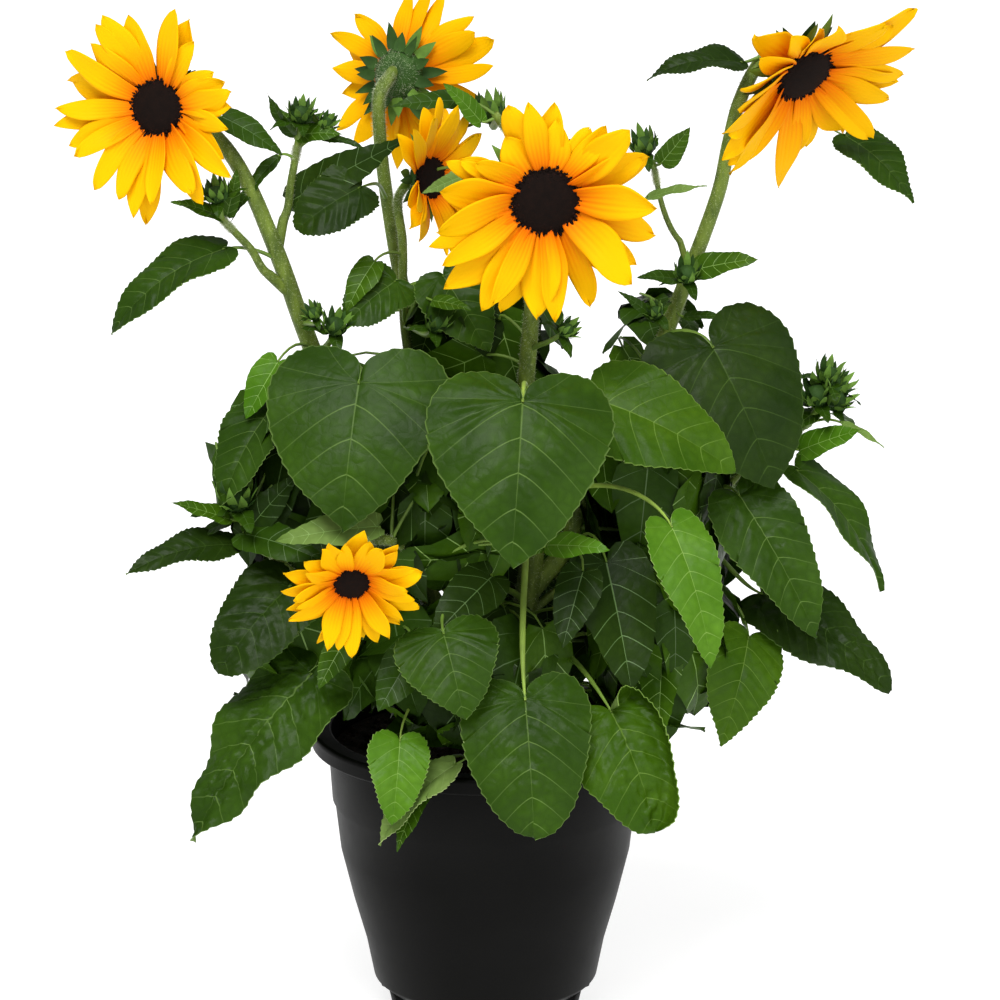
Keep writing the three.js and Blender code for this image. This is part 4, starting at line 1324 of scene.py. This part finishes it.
def floret_arrays(spot, way, radius, height, sides=5):
    """A tiny pointed floret standing on the disc."""
    helper = UP if abs(way[2]) < 0.8 else FRONT
    side = across(helper, way)
    other = np.cross(way, side)
    angle = circle_angles(sides)
    ring = np.cos(angle)[:, None] * side + np.sin(angle)[:, None] * other
    points = np.vstack([
        spot + radius * ring,
        spot + way * 0.7 * height + 0.75 * radius * ring,
        spot + way * height,
    ])
    spoke = np.arange(sides)
    ahead = (spoke + 1) % sides
    quads = np.stack([spoke, ahead, sides + ahead, sides + spoke], axis=1)
    apex = np.full(sides, 2 * sides)
    cone = np.stack([sides + spoke, sides + ahead, apex, apex], axis=1)
    return points, quads, cone[:, :3]


def head_disc(name):
    """The dark disc: a low dome set with spiralling florets, shaggy at its rim."""
    head = heads[name]
    chance = np.random.default_rng(sum(map(ord, name)) + 3)
    side = across(UP, head.facing)
    other = np.cross(head.facing, side)
    count = int(170 * (head.disc / (15 * MM)) ** 1.2) + 60
    points, faces, tones, base = [], [], [], 0
    for k in range(count):
        part = math.sqrt((k + 0.5) / count)
        angle = k * GOLDEN_TURN
        ray = math.cos(angle) * side + math.sin(angle) * other
        height = 0.22 * head.disc * (1 - part ** 2)
        spot = head.middle + ray * part * head.disc + head.facing * height
        way = unit(head.facing + ray * (0.25 + 0.9 * part ** 3) + chance.normal(0, 0.1, 3))
        tall = head.disc * (0.07 + 0.12 * part ** 3) * chance.uniform(0.8, 1.3)
        radius = 0.062 * head.disc * (0.75 + 0.4 * part)
        corners, quads, cone = floret_arrays(spot, way, radius, tall)
        points.append(corners)
        faces += (quads + base).tolist() + (cone + base).tolist()
        tone = 2 if part < 0.26 else (1 if chance.random() < 0.3 else 0)
        tones += [tone] * (len(quads) + len(cone))
        base += len(corners)
    piece = mesh_piece(
        f"{name}_florets", np.concatenate(points), faces, [disc_black, disc_brown, disc_olive], tones,
    )
    finished(piece, f"{name}_florets", "flower")
    turn = circle_angles(28)
    around = np.cos(turn)[:, None] * side + np.sin(turn)[:, None] * other
    profile = [(0.2, -0.78), (0.62, -0.66), (0.98, -0.3), (1.08, -0.06), (1.0, 0.04)]
    profile += [(math.cos(a), 0.3 * math.sin(a) + 0.02) for a in np.radians([20, 40, 60, 76, 86])]
    rings = [
        head.middle + head.disc * (radius * around + height * head.facing)
        for radius, height in profile
    ]
    cup = lofted(rings, bract_green)
    cup.data.materials.append(disc_black)
    for face in cup.data.polygons:
        forward = np.dot(np.array(face.center) - head.middle, head.facing)
        if forward > 0.035 * head.disc:
            face.material_index = 1
    return finished(cup, f"{name}_receptacle", "flower")


BRACT_COLUMNS = np.linspace(-1, 1, 5)
BRACT_ROWS = np.linspace(0, 1, 8)
BRACT_A, BRACT_T = np.meshgrid(BRACT_COLUMNS, BRACT_ROWS)
BRACT_A, BRACT_T = BRACT_A.ravel(), BRACT_T.ravel()
BRACT_FACES = grid_faces(len(BRACT_ROWS), len(BRACT_COLUMNS))


def add_bract(batch, root, outward, onward, length, half, curl, tone=0):
    """A narrow pointed bract from a root: it runs onward and curls outward to its tip."""
    t, a = BRACT_T, BRACT_A
    edge = np.cross(onward, outward)
    angle = curl * t ** 1.4
    run = np.cos(angle) * t * length
    flare = np.sin(angle) * t * length
    width = half * (1 - t) ** 1.15 * (0.8 + 1.7 * t)
    keel = 0.25 * width * a ** 2
    points = (
        root + run[:, None] * onward + (flare + keel)[:, None] * outward
        + (a * width)[:, None] * edge
    )
    batch.add(points, BRACT_FACES, tone)


def head_bracts(batch, name):
    head = heads[name]
    chance = np.random.default_rng(sum(map(ord, name)) + 1)
    side = across(UP, head.facing)
    other = np.cross(head.facing, side)
    for layer, (ring, depth, size) in enumerate([(0.9, -0.42, 0.8), (1.04, -0.16, 0.95)]):
        for k in range(11):
            turn = 2 * math.pi * (k + 0.5 * layer + chance.uniform(-0.25, 0.25)) / 11
            ray = math.cos(turn) * side + math.sin(turn) * other
            root = head.middle + head.disc * (ring * ray + depth * head.facing)
            onward = unit(ray + 0.2 * head.facing)
            outward = unit(ray * 0.5 - head.facing)
            length = size * head.disc * chance.uniform(0.8, 1.25)
            half = 0.25 * head.disc * chance.uniform(0.85, 1.2)
            tone = 1 if chance.random() < 0.25 else 0
            add_bract(batch, root, outward, onward, length, half, chance.uniform(0.0, 0.5), tone)


# ---------------------------------------------------------------- buds
# buds: the limb and the part of its length that the stalk leaves, the bud's middle in
# millimetres, the way that it points, and its radius
BUDS = (
    ("branch_bud_left", 1.0, (-153, -28, 506), (-0.2, -0.3, 1.0), 7),
    ("branch_bud_upper", 1.0, (-106, 4, 547), (0.1, -0.3, 1.0), 7),
    ("branch_bud_upper", 0.95, (-92, 8, 541), (0.6, -0.3, 0.7), 5.5),
    ("branch_bud_right", 1.0, (196, 20, 377), (-0.2, -0.4, 0.9), 8.5),
    ("branch_bud_right", 1.0, (207, 22, 374), (0.6, -0.4, 0.7), 8),
    ("branch_bud_right", 1.0, (203, 26, 388), (0.2, -0.2, 1.0), 7.5),
    ("branch_bud_right", 0.97, (211, 34, 380), (0.7, 0.4, 0.6), 6.5),
    ("branch_bud_node", 1.0, (92, 2, 529), (-0.3, -0.3, 0.9), 7.5),
    ("branch_bud_hairy", 1.0, (3, 36, 543), (-0.2, 0.1, 1.0), 9),
    ("branch_bud_low", 1.0, (-142, -62, 336), (-0.1, -0.4, 0.9), 10.5),
    ("stem_right", 0.55, (117, -10, 456), (0.0, -0.5, 0.85), 7),
    ("stem_right", 0.46, (99, -8, 433), (-0.3, -0.4, 0.8), 5),
    ("stem_middle", 0.5, (-28, -24, 430), (0.3, -0.5, 0.8), 7),
    ("stem_left", 0.55, (-86, -32, 430), (0.2, -0.5, 0.8), 7),
    ("stem_left", 0.6, (-98, -30, 437), (-0.3, -0.5, 0.8), 5),
    ("stem_front", 0.4, (46, -70, 436), (0.6, -0.5, 0.6), 5.5),
)


BUD_SIDES = 10
BUD_RINGS = 7
BUD_BRACTS = 20
BUD_LEAF_TONES = ("dark", "mid", "dark")


def bud(bracts, cores, stalks, leaves, spec, chance):
    """A closed green bud: a core wrapped in spiky bracts, on its stalk, with small leaves."""
    limb_name, part, middle, way, radius = spec
    start = limbs[limb_name].at(part)
    way = unit(way)
    radius *= MM
    middle = np.array(middle) * MM
    side = across(FRONT, way)
    other = np.cross(way, side)
    around = circle_angles(BUD_SIDES)
    ring = np.cos(around)[:, None] * side + np.sin(around)[:, None] * other
    heights = np.linspace(-1, 1, BUD_RINGS)
    line = middle + heights[:, None] * way * 0.8 * radius
    radii = 0.85 * radius * np.sqrt(np.clip(1 - (0.9999 * heights) ** 2, 0, 1))
    points = (line[:, None] + ring[None] * radii[:, None, None]).reshape(-1, 3)
    spokes = np.arange(BUD_SIDES)
    first = np.arange(BUD_RINGS - 1)[:, None] * BUD_SIDES
    ahead = (spokes + 1) % BUD_SIDES
    after = first + BUD_SIDES
    quads = np.stack([first + spokes, first + ahead, after + ahead, after + spokes], axis=2)
    cores.add(points, quads.reshape(-1, 4), 0)
    for k in range(BUD_BRACTS):
        height = -0.75 + 1.45 * k / BUD_BRACTS
        angle = k * GOLDEN_TURN
        ray = math.cos(angle) * side + math.sin(angle) * other
        root = middle + radius * (height * 0.8 * way + 0.8 * math.sqrt(1 - height ** 2) * ray)
        onward = unit(way + 0.45 * ray * (1 - 0.5 * height))
        outward = across(ray, onward)
        size = radius * chance.uniform(1.0, 1.5)
        tone = 0 if k % 3 == 0 else 1
        add_bract(bracts, root, outward, onward, size, 0.33 * radius, chance.uniform(-0.3, 0.3), tone)
    foot = middle - 0.7 * radius * way
    stalk = stalk_line(start, unit(unit(foot - start) + 0.2 * way), foot, way, 9)
    thick = np.linspace(0.3, 0.26, 9) * radius
    points, faces = tube_arrays(stalk, thick, 7)
    stalks.add(points, faces, 0)
    for k in range(3):
        angle = k * 2.1 + chance.uniform(0, 1)
        ray = math.cos(angle) * side + math.sin(angle) * other
        length = radius * chance.uniform(1.9, 2.9)
        along = unit(ray + 0.35 * way - 0.2 * UP)
        centre = middle - 0.6 * radius * way + along * 0.55 * length
        tone = BUD_LEAF_TONES[k]
        add_fill_leaf(leaves, chance, centre, along, unit(way + 0.5 * UP), length, tone, 0.45, 0.0)


def buds_and_bracts():
    chance = np.random.default_rng(21)
    bracts, cores, stalks, leaves = Batch(), Batch(), Batch(), Batch()
    for spec in BUDS:
        bud(bracts, cores, stalks, leaves, spec, chance)
    finished(bracts.piece("bud_bracts", [bract_green, bract_light]), "bud_bracts", "leaf")
    finished(cores.piece("bud_cores", [bract_green]), "bud_cores", "leaf")
    finished(stalks.piece("bud_stalks", [stalk_green]), "bud_stalks", "stem")
    finished(leaves.piece("bud_leaves", FOLIAGE_FINISHES), "bud_leaves", "leaf")
    behind = Batch()
    for name in HEADS:
        head_bracts(behind, name)
    finished(behind.piece("head_bracts", [bract_green, bract_light]), "head_bracts", "leaf")


# ---------------------------------------------------------------- the plant
pot()
pot_lugs()
soil()
soil_clods()
for limb_name in LIMBS:
    stem(limb_name)
stem_hairs()
for leaf_name in SINGLE_LEAVES:
    single_leaf(leaf_name)
single_leaf_stalks()
for mass_name in MASS_LEAVES:
    foliage(mass_name)
for tuft_name in SMALL_LEAVES:
    small_leaves(tuft_name)
for head_name in HEADS:
    head_petals(head_name)
    head_disc(head_name)
buds_and_bracts()


# ---------------------------------------------------------------- floor, light and camera
def floor():
    deselect()
    bpy.ops.mesh.primitive_plane_add(size=24, location=(0, 0, 0))
    ground = bpy.context.object
    ground.name = "studio_floor"
    paper = Finish("studio paper", PAPER_WHITE, 0.9, Emission_Color=WHITE, Emission_Strength=0.75)
    ground.data.materials.append(paper.material)


CAMERA_PLACE = (0.0088, -2.283, 0.912)
CAMERA_DROP = 14.57  # degrees below level
LENS = 144
SENSOR = 36


def camera():
    """Level with the flowers, looking a little down at the plant through a long lens."""
    view = bpy.data.cameras.new("main_view")
    view.lens = LENS
    view.sensor_width = SENSOR
    view.clip_start = 0.1
    holder = bpy.data.objects.new("main_view", view)
    bpy.context.scene.collection.objects.link(holder)
    holder.location = CAMERA_PLACE
    holder.rotation_euler = (math.radians(90 - CAMERA_DROP), 0, 0)
    bpy.context.scene.camera = holder


def broad_sun(name, rise, turn, spread, power):
    """An even light over everything, soft-edged, from a rise and a turn in degrees."""
    deselect()
    bpy.ops.object.light_add(type="SUN")
    lamp = bpy.context.object
    lamp.name = name
    lamp.data.energy = power
    lamp.data.angle = math.radians(spread)
    lamp.rotation_euler = (math.radians(90 - rise), 0, math.radians(turn))


floor()
broad_sun("key", 56, -14, 32, 2.9)
broad_sun("fill", 28, 34, 50, 0.8)
camera()
world = bpy.data.worlds.new("studio white")
bpy.context.scene.world = world
world.use_nodes = True
world.node_tree.nodes["Background"].inputs["Color"].default_value = (1, 1, 1, 1)
world.node_tree.nodes["Background"].inputs["Strength"].default_value = 0.38
bpy.context.scene.view_settings.view_transform = "Standard"
